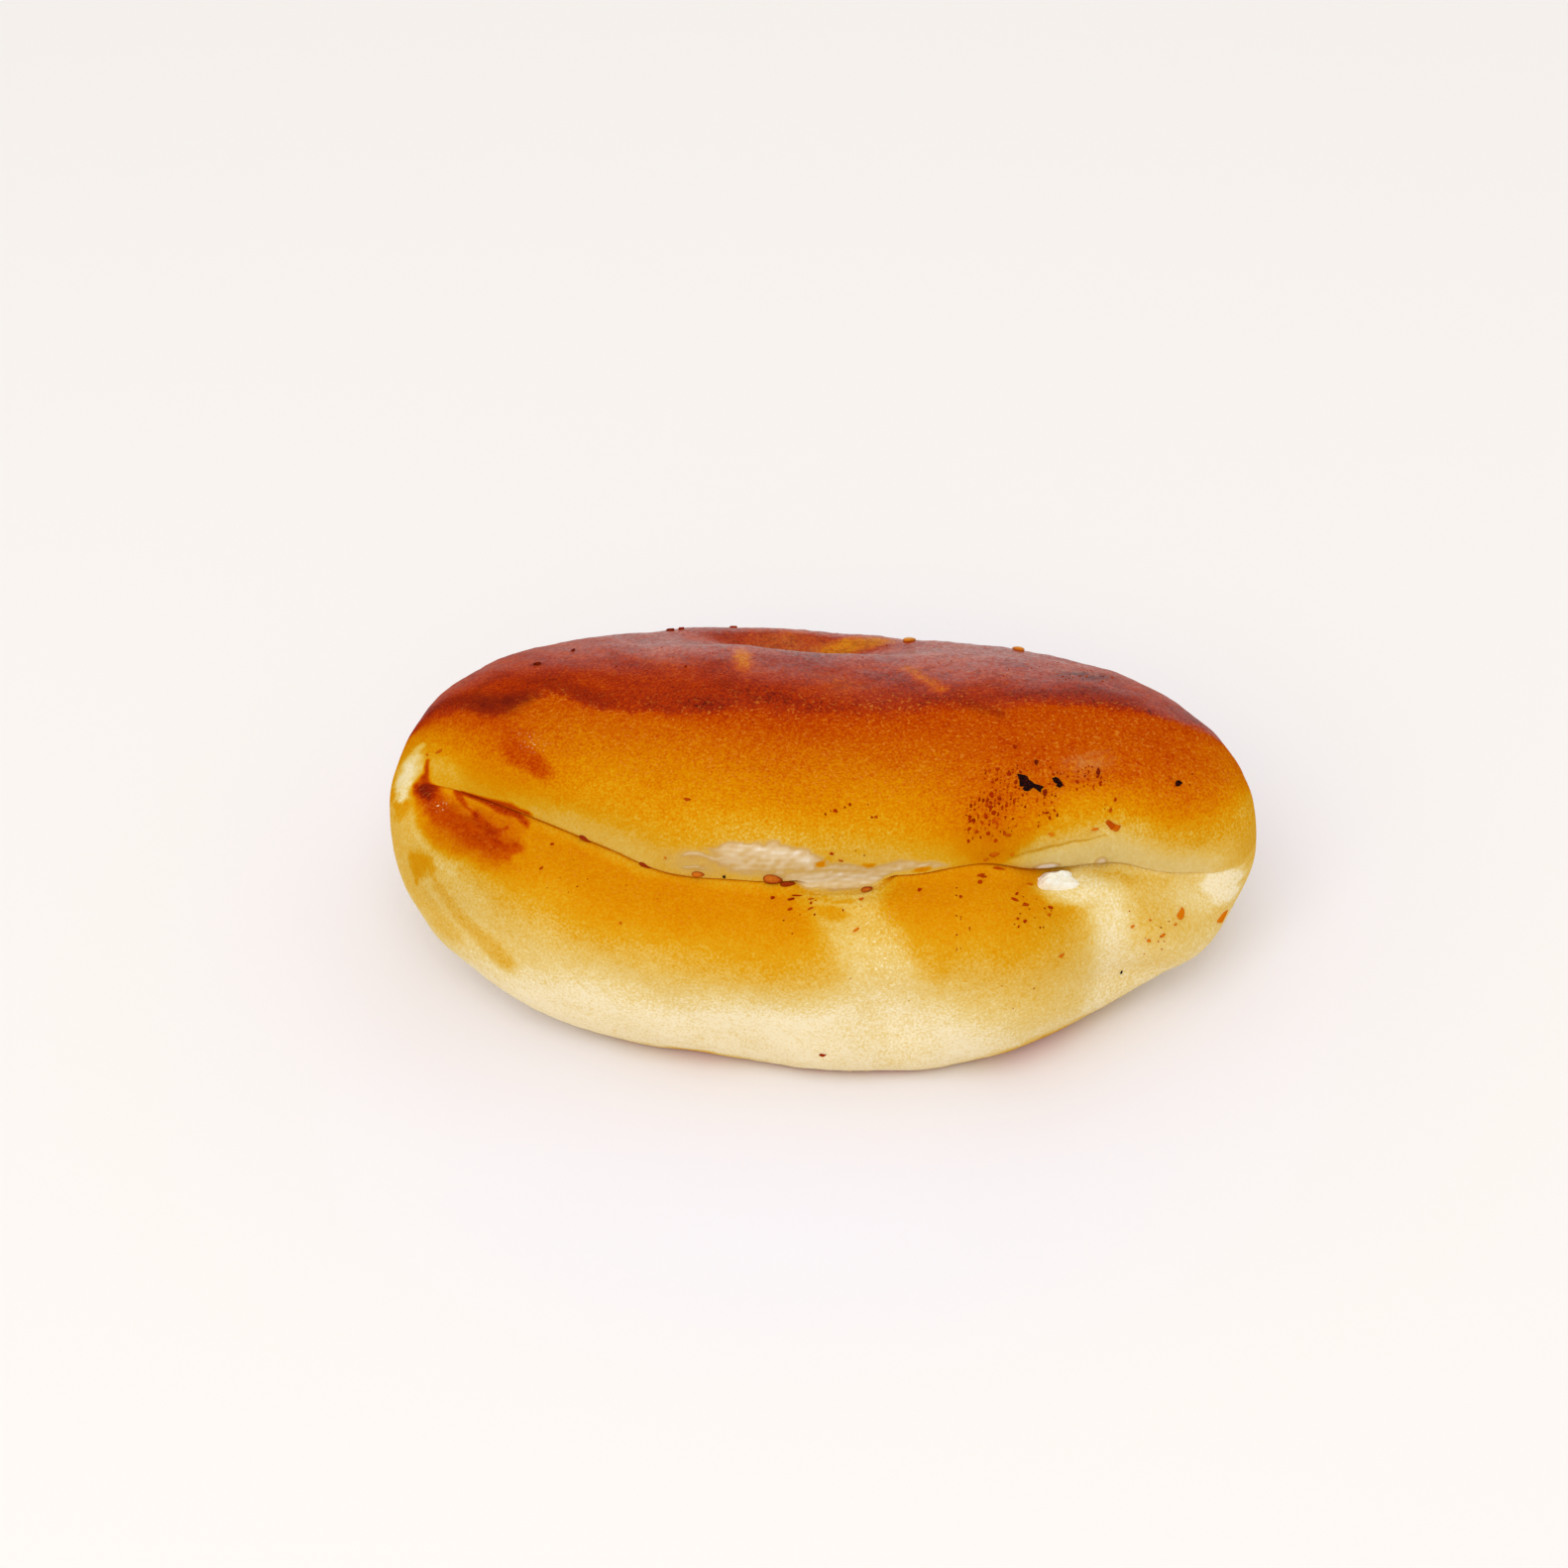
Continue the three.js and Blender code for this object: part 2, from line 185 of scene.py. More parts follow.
def fold_depth(fold, x, degrees, below):
    down = np.clip((FOLD_TOP - degrees) / fold["span"], 0, 1.2)
    there = bell(x, fold["x"] + fold["drift"] * down, fold["width"])
    return fold["depth"] * there * ramp(degrees, *fold["fade"]) * ramp(below, *FOLD_START)


def crease_at(x):
    return LIP_CREASE["above"] + LIP_CREASE["rise"] * (x - LIP_CREASE["along"][0])


def relief(x, degrees, d):
    """What is pressed into the loaf or swells from it, and the slit's shift up under the lobe."""
    open_ = window(x, *SEAM_REACH)
    above, below = np.maximum(d, 0), np.maximum(-d, 0)
    slit = open_ * np.exp(-above / SLIT["above"] - below / SLIT["below"])
    out = -RECESS["depth"] * open_ * bell(d, 0, np.where(d > 0, RECESS["above"], RECESS["below"]))
    out -= through(SLIT_DEPTHS, x) * slit
    swell = LOWER_LOBE["swell"] * bell(d, *LOWER_LOBE["across"])
    out += np.where(d < 0, open_ * swell, 0)
    for fold in FOLDS:
        out -= fold_depth(fold, x, degrees, below)
    middle, half = DENT["round"]
    dented = np.exp(-((np.abs(degrees - middle) / half) ** DENT["steepness"]))
    out -= DENT["depth"] * bell(x, *DENT["along"]) * dented
    out -= DIP["depth"] * bell(x, *DIP["along"]) * bell(degrees, *DIP["round"])
    for hollow in (END_POCKET, GAP):
        out -= hollow["depth"] * bell(x, *hollow["along"]) * bell(d, *hollow["across"])
    crease = bell(d, crease_at(x), LIP_CREASE["half_width"])
    out -= LIP_CREASE["depth"] * bell(x, *LIP_CREASE["along"]) * crease
    return out, SLIT["tuck"] * slit


# ---- noise and marks on the crust

NOISE_WAVES = 28


def waves(x, y, pitch, seed, stretch=1.0):
    """Smooth noise of about -1 to 1: plane waves of one pitch in random directions."""
    draw = np.random.default_rng(seed)
    total = np.zeros(np.broadcast(x, y).shape)
    for _ in range(NOISE_WAVES):
        heading, phase = draw.uniform(0, 2 * math.pi, 2)
        k = 2 * math.pi / (pitch * draw.uniform(0.7, 1.6))
        total += np.sin(k * (x / stretch * math.cos(heading) + y * math.sin(heading)) + phase)
    return total / math.sqrt(NOISE_WAVES / 2) * 0.6


def blob(x, d, at, size, turn=0, edge=0.5):
    """A mask of 1 inside an ellipse and 0 outside, softened over a share edge of its size."""
    a = math.radians(turn)
    u = ((x - at[0]) * math.cos(a) + (d - at[1]) * math.sin(a)) / size[0]
    v = (-(x - at[0]) * math.sin(a) + (d - at[1]) * math.cos(a)) / size[1]
    return 1 - ramp(np.hypot(u, v), 1 - edge, 1 + edge)


def brush(x, d, points, edge=0.5):
    """A mask of 1 along a line through (x, d, half width) points, softened as a blob is."""
    nearest = np.full(np.shape(x), np.inf)
    for (x0, d0, w0), (x1, d1, w1) in zip(points, points[1:]):
        dx, dd = x1 - x0, d1 - d0
        k = np.clip(((x - x0) * dx + (d - d0) * dd) / (dx * dx + dd * dd), 0, 1)
        away = np.hypot(x - x0 - k * dx, d - d0 - k * dd) / (w0 + (w1 - w0) * k)
        nearest = np.minimum(nearest, away)
    return 1 - ramp(nearest, 1 - edge, 1 + edge)


def union(*masks):
    clear = 1.0
    for mask in masks:
        clear = clear * (1 - np.clip(mask, 0, 1))
    return 1 - clear


def spots(x, d, table):
    """The union of blobs, each given as its share, place, half sizes, turn and edge."""
    return union(*(share * blob(x, d, *form) for share, *form in table))


def strokes(x, d, table):
    """The union of brush strokes, each given as its share, edge and line."""
    return union(*(share * brush(x, d, line, edge) for share, edge, line in table))


def toward(field, level, share):
    return field + (level - field) * share


# How far the crust has browned, from 0, bare pale dough, to 1, burnt: the d that each level
# reaches at each x, first up the upper lobe and then down the lower one.
UPPER_LEVELS = {
    0.30: [
        (-68, 2), (-50, 1), (-40, 1.5), (-30, 3), (-20, 3), (-10, 8), (0, 7), (10, 4), (20, 2.5), (29, 0.2),
        (40, 7), (50, 7.3), (60, 8.2), (68, 10),
    ],
    0.45: [
        (-68, 10), (-60, 10), (-50, 5.5), (-40, 7), (-30, 14.3), (-20, 15.7), (-10, 15.3), (0, 12),
        (10, 14.5), (20, 9.3), (29, 1), (40, 11.5), (50, 10.5), (60, 12.7), (68, 15),
    ],
    0.60: [
        (-68, 13), (-60, 14.6), (-50, 13.5), (-40, 20.5), (-30, 24.5), (-20, 26.5), (-10, 24), (0, 24.5),
        (10, 23.5), (20, 20), (30, 12), (40, 15.8), (50, 16), (60, 25), (68, 28),
    ],
    0.70: [
        (-68, 18), (-60, 18), (-50, 18), (-40, 27), (-30, 29), (-20, 30.5), (-10, 31), (0, 30), (10, 30),
        (20, 30), (30, 27), (40, 31), (50, 28), (60, 31), (68, 32),
    ],
}
LOWER_LEVELS = {
    0.45: [
        (-68, 6), (-60, -3), (-50, -6), (-43, -2.6), (-30, -1.6), (-10, -1.8), (0, -2.4), (15, 1), (68, 6),
    ],
    0.40: [
        (-68, 1), (-60, -5), (-50, -9.2), (-43, -8.5), (-30, -8), (-20, -6.5), (-10, -7), (0, -8),
        (10, -7.5), (20, -7.5), (30, -7), (38, -4), (46, 0), (68, 4),
    ],
    0.30: [
        (-68, -1), (-60, -6), (-50, -10), (-40, -11.5), (-30, -11.5), (-20, -10), (-10, -11), (0, -12),
        (10, -12), (20, -12.4), (30, -13.6), (40, -9), (47, -4), (68, -1),
    ],
    0.20: [
        (-68, -4), (-60, -9.5), (-50, -14), (-40, -16.5), (-30, -16), (-20, -14.3), (-10, -14.8), (0, -16),
        (10, -16.5), (20, -17), (30, -18.5), (40, -15.5), (50, -9), (58, -5), (68, -3),
    ],
    0.10: [
        (-68, -18), (-60, -27), (-50, -27.5), (-40, -24), (-30, -21), (-20, -18.3), (-10, -18.5), (0, -20),
        (10, -20), (20, -22), (30, -27), (40, -28), (50, -18), (60, -12), (68, -8),
    ],
    0.02: [
        (-68, -34), (-50, -33), (-30, -26), (-10, -23), (10, -25), (20, -28), (40, -36), (50, -30),
        (68, -20),
    ],
}
LEVEL_ON_SEAM = 0.33
LIP_SHADE = [
    (-68, 0), (-50, 0.7), (-30, 1), (12, 1), (22, 0.8), (31, 1), (36, 1.5), (44, 1.3), (56, 0.7), (68, 0.2),
]
# How plainly a thin brown line shows where the lobes meet.
SEAM_LINE = [
    (-68, 0.2), (-46, 0.9), (-20, 0.8), (-4, 0.6), (1, 0), (12, 0), (15, 0.6), (31, 0.8), (40, 0.3),
    (68, 0.2),
]

# The lower edge of the dark egg wash along the front, as d at each x, and how soft it is there.
GLAZE_EDGE = [
    (-68, 10), (-60, 14.5), (-55, 16.8), (-50, 16.2), (-47.5, 19.5), (-45, 23.5), (-42, 25.8), (-39, 26.4),
    (-35.5, 25.3), (-31, 26.2), (-26, 28), (-20, 29.8), (-10, 31.5), (0, 31), (12, 31), (22, 32),
    (29, 30.5), (35, 32.6), (41, 32.2), (50, 30), (56, 31), (61, 30), (68, 28),
]
GLAZE_SOFTNESS = [
    (-68, 3), (-58, 2), (-50, 0.5), (-24, 0.4), (-12, 3.5), (5, 6), (20, 4), (30, 1.6), (52, 1.8), (68, 3),
]
GLAZE_BACK = {"degrees": 163, "sway": 5, "softness": 9}

# The lean of the crust, in degrees up from the front, where the glaze begins to shine, and how much.
SHEEN_LEAN = [(-68, 99), (-50, 97), (-30, 94), (-10, 91), (10, 90), (30, 91.5), (50, 94), (68, 95)]
SHEEN_STRENGTH = [
    (-68, 0.25), (-50, 0.33), (-30, 0.9), (-10, 1.7), (10, 1.5), (30, 1.1), (50, 0.45), (68, 0.4),
]

# The white silky stretch of dough, where the lobes have pulled apart: its upper and lower edge.
SILK_TOP = [
    (-17, 4.9), (-14, 6.2), (-10.5, 7.1), (-8, 7.6), (-5, 7.5), (-2, 7), (0.5, 6.5), (2.5, 5.3), (4, 4.4),
    (7, 3.4), (10, 2.8), (13, 3.2), (16, 3.7), (19, 3.2), (22, 2.2), (24, 1.4),
]
SILK_FOOT = [
    (-20, 3.6), (-14, 2.3), (-9, 1.9), (-4, 1.7), (-2, 1), (0, -0.2), (3, -0.8), (10, -0.9), (12, -0.2),
    (14, 1.4), (19, 1.6), (24, 1),
]
TONGUE_FOOT = [
    (-1, -0.1, 0.2), (1, -1, 0.4), (3, -1.5, 0.4), (10, -1.6, 0.4), (12.2, -0.9, 0.35), (14.5, 0, 0.2),
]
SILK_CREASE = [(-2, 2.7, 0.25), (6, 2.4, 0.25), (11, 1.9, 0.2)]
# Fold ridges at the left of the silk, raised a little, with a painted highlight along each.
GLINTING_FOLDS = [
    [(-17.2, 4.6, 0.2), (-15.4, 5, 0.5), (-14, 4.6, 0.3), (-12.6, 4.3, 0.5), (-11, 4.1, 0.2)],
    [(-17.5, 2.5, 0.15), (-15.6, 2.9, 0.3), (-14.4, 2.7, 0.15)],
]

# Strokes on the crust, each as its share, the softness of its edge and its line of (x, d, half
# width), and spots as their share, place (x, d), half sizes, turn in degrees and softness.
FOLD_STROKES = [
    (0.58, 0.5, [
        (7.4, -1.6, 6.2), (8, -5, 5), (9.4, -8, 4.8), (12, -12, 4.8), (14, -17, 5),
        (15.5, -24, 5), (16, -32, 5),
    ]),
    (0.95, 0.8, [
        (44.5, -2.6, 2), (47.4, -5, 2.8), (47.6, -12, 2.6), (47.6, -20, 2.6), (47, -30, 2.8),
    ]),
]
PALE_SPOTS = [(0.85, (42.5, -3.4), (5, 2.2), -8, 0.6), (0.45, (55, -2.4), (11, 3.2), 0, 0.8)]
PALE_CORNER = [(0.4, (-57.6, 4.4), (3, 1.7), -20, 0.8)]
RIM_WAVES = [(0.9, 36, 11), (0.75, -17, 9)]  # share, x and half length of the golden rim at the foot
DEEP_GLAZE = [(0.04, (-9, 48), (10, 9), 0, 0.7), (0.03, (52, 39), (8, 6), 0, 0.7)]
# The burnt pocket at the left end, as strokes with how far each has browned in place of a share.
SCORCHES = [
    (0.71, 0.6, [
        (-60.2, -1, 1.5), (-58.6, -3.2, 1.4), (-56, -4.6, 1.3), (-53, -5.4, 1.3), (-50, -6.2, 1.5),
        (-47.5, -6.7, 1.2), (-44.8, -6.8, 1), (-43.7, -5.4, 0.6),
    ]),
    (0.72, 0.6, [(-53, -2.6, 0.9), (-51.3, -3.5, 0.9), (-49, -4.8, 1.4), (-48.2, -4.4, 1)]),
    (0.69, 0.6, [(-48.5, -4.8, 0.6), (-46.3, -2.7, 0.35)]),
    (0.66, 0.8, [(-46, -7.4, 0.8), (-44.6, -7.6, 0.6)]),
    (0.7, 0.6, [(-56.4, -0.3, 0.5), (-55, -1.6, 0.35), (-54, -2, 0.2)]),
    (0.72, 0.8, [(-55.5, 0.8, 0.35), (-51, 0.8, 0.55), (-46.5, 1.4, 0.6), (-43, 1.3, 0.4)]),
    (0.78, 0.8, [
        (-56.5, -0.2, 0.2), (-52, -0.2, 0.3), (-48, -0.5, 0.5), (-45, -0.4, 0.4), (-43.3, -1.1, 0.5),
    ]),
    (0.9, 0.7, [(-61.8, 0.1, 0.6), (-60.6, -0.5, 1.3), (-59.8, -1.5, 0.8)]),
    (0.78, 0.8, [(-60.8, 0.8, 0.8), (-60.5, 2.4, 0.45), (-60.6, 5, 0.25)]),
    (0.8, 0.9, [(-48.9, -4.8, 0.8), (-48.2, -4.6, 0.7)]),
    (0.82, 0.8, [(-47.2, -5.9, 0.5), (-46.7, -6.1, 0.4)]),
    (0.84, 0.8, [(-53.1, -2.5, 0.4), (-52.6, -2.8, 0.4)]),
]
POCKET_HALO = [
    (-60.3, -1.6, 1.4), (-58.2, -4.6, 3.2), (-55, -5.6, 4.3), (-50, -5.2, 4.6), (-45.5, -4.6, 4.2),
]
POCKET_INSIDE = [(-58.5, -2.4, 1.6), (-54, -3.4, 2.6), (-46.4, -3.8, 3)]
POCKET_GLOW = [(-59.4, -2.6, 1.6), (-57, -5, 2.2), (-52.5, -6.3, 2.5), (-46.5, -6.8, 2.3), (-44, -5.6, 1.2)]
# Pale dough at the left end, and the drips of egg on it.
PALE_END = [
    (-61.7, 8.2, 0.6), (-62.4, 6.6, 1.2), (-63, 4.6, 1.6), (-63.5, 2.6, 1.7), (-64, 0, 1.7),
    (-64.1, -1.4, 1.2),
]
# Stretches by it that are yellower than the dough round them.
FLANK = [(-65.6, -3, 1.6), (-64.5, -8, 2.2), (-61.8, -16, 2.6), (-56, -24, 2.6)]
STREAK = [(-57, -11.5, 0.7), (-55.5, -15, 1), (-52, -20, 1.6), (-46, -26, 2.2)]
PALE_LINE = [(-62.5, -2.2, 0.4), (-61.8, -6, 0.5), (-59.9, -8.7, 0.5), (-57, -10.7, 0.5), (-53, -12, 1)]
DRIPS = [
    (1, 0.55, [(-61, -11.6, 1.2), (-59.4, -12.4, 2.2), (-57.8, -12, 1.5)]),
    (1, 0.55, [(-60.4, -13.4, 1.4), (-60.6, -15.8, 0.5)]),
    (1, 0.55, [(-65, -2.6, 0.9), (-64.2, -4, 1.3)]),
    (1, 0.55, [(3, -4, 0.3), (5.2, -5.2, 1), (6.9, -5.8, 1.1)]),
    (0.7, 0.55, [(1.5, -2.4, 0.25), (4, -2.7, 0.3), (6.2, -3.4, 0.3), (8.8, -3.3, 0.25)]),
]
TAWNY_DROPS = [
    (1, (3.5, 3.6), (0.95, 0.6), 0, 0.5), (1, (10.7, 2.9), (0.7, 0.35), 0, 0.5),
    (1, (18.6, 1.7), (1.3, 0.5), 0, 0.5), (1, (-14.4, 3.4), (0.5, 0.3), 0, 0.5),
]
LIP_LINE = [(31.5, 2.1, 0.16), (35, 3.8, 0.2), (38, 4.8, 0.2), (42, 5.5, 0.16), (46.5, 6, 0.1)]
WARM_SPOTS = [
    (1, (-44.8, 11), (3, 2.3), -10, 0.6), (0.85, (-41.4, 9.8), (2.4, 1.9), -20, 0.6),
    (0.5, (-46, 14), (2.6, 2.4), 0, 0.8), (0.35, (52, 19), (12, 6), 0, 0.7),
    (0.5, (-60.5, 15), (3.4, 1.8), 20, 0.8), (0.7, (36, 20.4), (4, 2.2), -10, 0.8),
    (0.5, (-52, 15), (4, 1.6), 10, 0.8),
]
# Where the glaze is thin or gone.
BARE_SPOTS = [(0.85, (-12.4, 47), (1.4, 4.2), 12, 0.6), (1, (3.2, 63.7), (7, 1.9), -4, 0.3)]
BARE_STROKES = [(0.7, 0.7, [(13, 46, 0.8), (16, 42.5, 1.1), (19.5, 38, 0.8)])]
THIN_SPOTS = [(0.7, (-7, 64.5), (6.5, 3), 0, 0.6)]
TIP_SPOTS = [(1, (64, -1.6), (2.5, 1.9), -8, 0.35), (1, (64.1, -3.4), (1.8, 2.6), 10, 0.35)]
TIP_FRINGE = [(0.4, (61, -2.6), (3.4, 3), 0, 0.8)]
# A painted highlight on the wet dough above the cheese, and a pale lump of dough by the gap, both mixed in
# as silk white.
PALE_AND_GLINTING_LUMPS = [(1, (38.5, 1.2), (2.1, 0.75), 5, 0.5), (0.8, (46.6, 1.4), (0.9, 1), 20, 0.6)]
# Pale hazes: cream dough by the folds at the left of the silk, a painted soft highlight on the upper lobe
# at the right, and a painted reflection in the hollow on top.
PALE_AND_HIGHLIGHT_HAZES = [
    (0.36, (-15.5, 3.4), (5.5, 2.4), -5, 0.8), (0.2, (42.5, 18.6), (5.4, 3.4), 0, 1),
    (0.14, (-8, 64.5), (8, 3.4), 0, 0.7),
]
SHADES = [
    (0.6, (46.5, -0.6), (5, 2), 0, 0.8), (0.5, (9, -2), (7.5, 1.8), 0, 0.8),
    (0.4, (-53, -13), (9, 6), 0, 0.8),
]
SMUDGES = [
    (0.65, (-46.6, 22.8), (3.6, 1.6), 42, 0.6), (0.6, (-50.5, 19.8), (4, 2.6), 20, 0.7),
    (0.45, (-54.5, 20), (4, 2.4), 0, 0.8), (0.3, (-38, 28.5), (6, 1.8), 0, 0.8),
    (0.5, (-14.5, 39.2), (1.8, 0.7), 0, 0.7), (0.7, (-45.6, 34.2), (0.9, 0.6), 0, 0.6),
    (0.7, (-40.5, 42.2), (0.4, 0.8), 0, 0.6), (0.5, (-60.4, -0.6), (0.9, 1.1), 20, 0.7),
]
SMUDGE_STROKES = [
    (0.35, 0.8, [(-54.6, 22.4, 0.4), (-53.4, 26, 0.4), (-50, 28.8, 0.3)]),
    (0.35, 0.9, [(22, 35, 0.8), (25.5, 32, 1.1), (28.6, 29.6, 0.9)]),
    (0.25, 0.9, [(27, 35, 0.8), (34, 36.8, 1.1), (42, 36.4, 1.1), (50, 34, 0.8)]),
]
SKIN_BUMPS = [(0.3, (19.7, 17.3), (1, 0.9), 0, 0.6), (0.6, (46.6, 1.2), (1.2, 1), 0, 0.7)]
SOOTY = [(1, (40.6, 43), (5, 2.2), -5, 0.6)]
# Spots of painted highlight, white sparkles: in the fold valley of the lower lobe, on the left of the upper
# lobe and in the burnt pocket.
GLINTS = [
    (1, (13.6, -14), (3, 6.5), 12, 0.8), (0.4, (-43.2, 13.8), (2.2, 1.6), 0, 0.8),
    (0.7, (-58.2, -3), (0.9, 1), 0, 0.5),
]
# How far each kind of mark has browned.
LEVEL = {
    "seam line": 0.57, "fold": 0.06, "rim": 0.4, "glaze": 0.79, "halo": 0.41, "pocket": 0.54,
    "glow": 0.65, "warm": 0.71, "bare": 0.5, "thin": 0.64, "drop": 0.45, "lip line": 0.36,
    "flank": 0.23, "streak": 0.27, "drip": 0.34, "dough": 0.0,
}


def level_at(levels, x, d, side):
    """The browning between the contours of a lobe, ring by ring: side is 1 up, -1 down."""
    found = np.empty(d.shape)
    values = [LEVEL_ON_SEAM - 0.02 if side < 0 else 0.28] + list(levels)
    for i in range(len(x)):
        reach = [0.0] + [side * float(through(points, x[i, 0])) for points in levels.values()]
        found[i] = np.interp(side * d[i], np.maximum.accumulate(reach), values)
    return found


def measures_of(x, d, degrees, z, lean):
    """The measures of every point of the mesh, and the noises that keep its marks uneven."""
    m = SimpleNamespace(x=x, d=d, degrees=degrees, z=z, lean=lean)
    m.drift, m.ripple = waves(x, d, 16, 11), waves(x, d, 3.2, 12)
    m.fine, m.wobble = waves(x, d, 1.3, 13), waves(x, d, 2.2, 14)
    m.upper = ramp(d, -0.3, 0.5)
    m.lower = 1 - m.upper
    m.u = x + 0.3 * m.wobble + 0.12 * m.fine  # x and d that wander a little, for uneven edges
    away = np.abs(d)
    m.v = d + 0.22 * m.ripple * ramp(away, 0.5, 3) + 0.12 * m.fine * ramp(away, 0, 1.5)
    return m


def glaze_of(m):
    """Where the dark egg wash lies, and how far each point is above its lower edge."""
    edge = through(GLAZE_EDGE, m.x) + 0.5 * m.ripple + 0.4 * m.fine
    soft = between(GLAZE_SOFTNESS, m.x)
    front = ramp(m.d, edge - 0.25 * soft, edge + 0.75 * soft)
    end, softness = GLAZE_BACK["degrees"] + GLAZE_BACK["sway"] * m.drift, GLAZE_BACK["softness"]
    end = end + 1.2 * m.ripple
    return front * (1 - ramp(m.degrees, end - softness, end + softness)), m.d - edge


def pale_above(m):
    """The lip at the right, and how pale the turn of the upper lobe is."""
    d, u, v = m.d, m.u, m.v
    crease = crease_at(np.minimum(u, 45)) - 0.12 * np.maximum(u - 45, 0)
    lip = window(u, 31, 36, 61, 68) * (1 - ramp(v, crease - 2.5, crease + 4))
    lip = lip * ramp(d, 0.2, 0.8)
    rise = 0.2 * (u + 46)
    left_lip = window(u, -47, -38, -26, -13) * (1 - ramp(v, 1.8 + rise, 5.4 + rise))
    left_lip = left_lip * (1 - ramp(v, 3, 7)) * ramp(d, 0.4, 1.6)
    by_silk = blob(u, v, (-6, 4), (17, 6), 0, 0.7) + blob(u, v, (16, 2.5), (8, 3), 0, 0.8)
    corner = spots(u, v, PALE_CORNER)
    return lip, union(0.85 * lip, 0.5 * left_lip, 0.3 * by_silk, corner)


def browned_lobes(m, pale):
    """The browning of both lobes, the seam, the back and the foot."""
    x, d, u, v = m.x, m.d, m.u, m.v
    warped = d + 0.7 * m.drift + 0.25 * m.ripple
    above = level_at(UPPER_LEVELS, x, warped, 1)
    bake = np.where(d > 0, above, level_at(LOWER_LEVELS, x, warped, -1))
    bake = toward(bake, LEVEL_ON_SEAM - 0.2 * ramp(x, 36, 46), np.exp(-np.abs(d) / 0.6))
    met = (1 - ramp(np.abs(d), 0.05, 0.4)) * between(SEAM_LINE, x)
    # The foot of the silk tongue gets a painted shadow, browned as the seam line is.
    foot = 0.35 * brush(x, d, TONGUE_FOOT, 0.9)
    bake = toward(bake, LEVEL["seam line"], union(met, foot))

    paler = union(strokes(u, v, FOLD_STROKES), spots(u, v, PALE_SPOTS))
    bake = toward(bake, LEVEL["fold"], paler * m.lower)
    bake = toward(bake, 0.17 - 0.08 * ramp(x, 31, 40), pale * m.upper)

    # Where the tray and the oven wall browned it.
    behind = 0.05 + 0.36 * ramp(m.z, 9, 24) + 0.06 * waves(x, m.z, 16, 20)
    wrap = np.minimum(196, through(SEAM_ANGLES, x) + 177)  # short of where d changes its sign
    bake = toward(bake, behind, ramp(m.degrees, wrap - 36, wrap))
    under = 1 - ramp(m.z, 0.05, 1.4)
    rim = 1 - ramp(m.z, 1, 4.4 + 3 * bell(x, *RIM_WAVES[0][1:]) + 0.7 * m.ripple)
    rim = rim * union(*(share * bell(x, at, half) for share, at, half in RIM_WAVES))
    return toward(bake, LEVEL["rim"] + 0.1 * m.drift + 0.05 * m.ripple, np.maximum(under, rim))


def browning(m, glaze, over, pale):
    """How far the crust has browned, from 0 to 1, and where the glaze is bare."""
    x, d, u, v = m.x, m.d, m.u, m.v
    bake = browned_lobes(m, pale)

    # The glaze deepens above its edge, and then evens out over the top.
    glazed = LEVEL["glaze"] + 0.03 * m.drift + 0.06 * bell(over, 4, 4)
    glazed = glazed + 0.03 * waves(x, d, 5, 16, stretch=3) + spots(x, d, DEEP_GLAZE)
    bake = toward(bake, glazed, glaze)

    # In the pocket, edges wander half as much.
    near = 0.5 * (x + u), 0.5 * (d + v)
    bake = toward(bake, LEVEL["halo"], brush(*near, POCKET_HALO, 0.22) * m.lower)
    inside = brush(u, v, POCKET_INSIDE, 0.5) * m.lower
    bake = toward(bake, LEVEL["pocket"] + 0.03 * m.ripple, inside)
    bake = toward(bake, LEVEL["glow"], brush(u, v, POCKET_GLOW, 0.8) * m.lower)
    for level, edge, line in SCORCHES:
        bake = toward(bake, level + 0.02 * m.fine, brush(*near, line, edge))

    bake = toward(bake, LEVEL["warm"], spots(u, v, WARM_SPOTS))
    bare = union(spots(u, v, BARE_SPOTS), strokes(u, v, BARE_STROKES))
    bake = toward(bake, LEVEL["bare"], bare)
    bake = toward(bake, LEVEL["thin"], spots(u, v, THIN_SPOTS) * (1 - bare))
    bake = toward(bake, LEVEL["drop"], spots(u, v, TAWNY_DROPS))
    bake = toward(bake, LEVEL["lip line"], 0.6 * brush(x, d + 0.1 * m.ripple, LIP_LINE, 0.9))
    bake = toward(bake, LEVEL["flank"], 0.85 * brush(u, v, FLANK, 0.7))
    bake = toward(bake, LEVEL["streak"], 0.75 * brush(u, v, STREAK, 0.5))

    pale_end = union(brush(u, v, PALE_END, 0.6), 0.25 * brush(x, d, PALE_LINE, 1))
    pale_end = (0.85 - 0.35 * ramp(v, 3.5, 7.5)) * pale_end
    tip = union(spots(u, v, TIP_SPOTS), spots(u, v, TIP_FRINGE) * m.lower)
    bake = toward(bake, LEVEL["dough"], union(pale_end, 0.95 * tip))
    return toward(bake, LEVEL["drip"], strokes(u, v, DRIPS)), bare


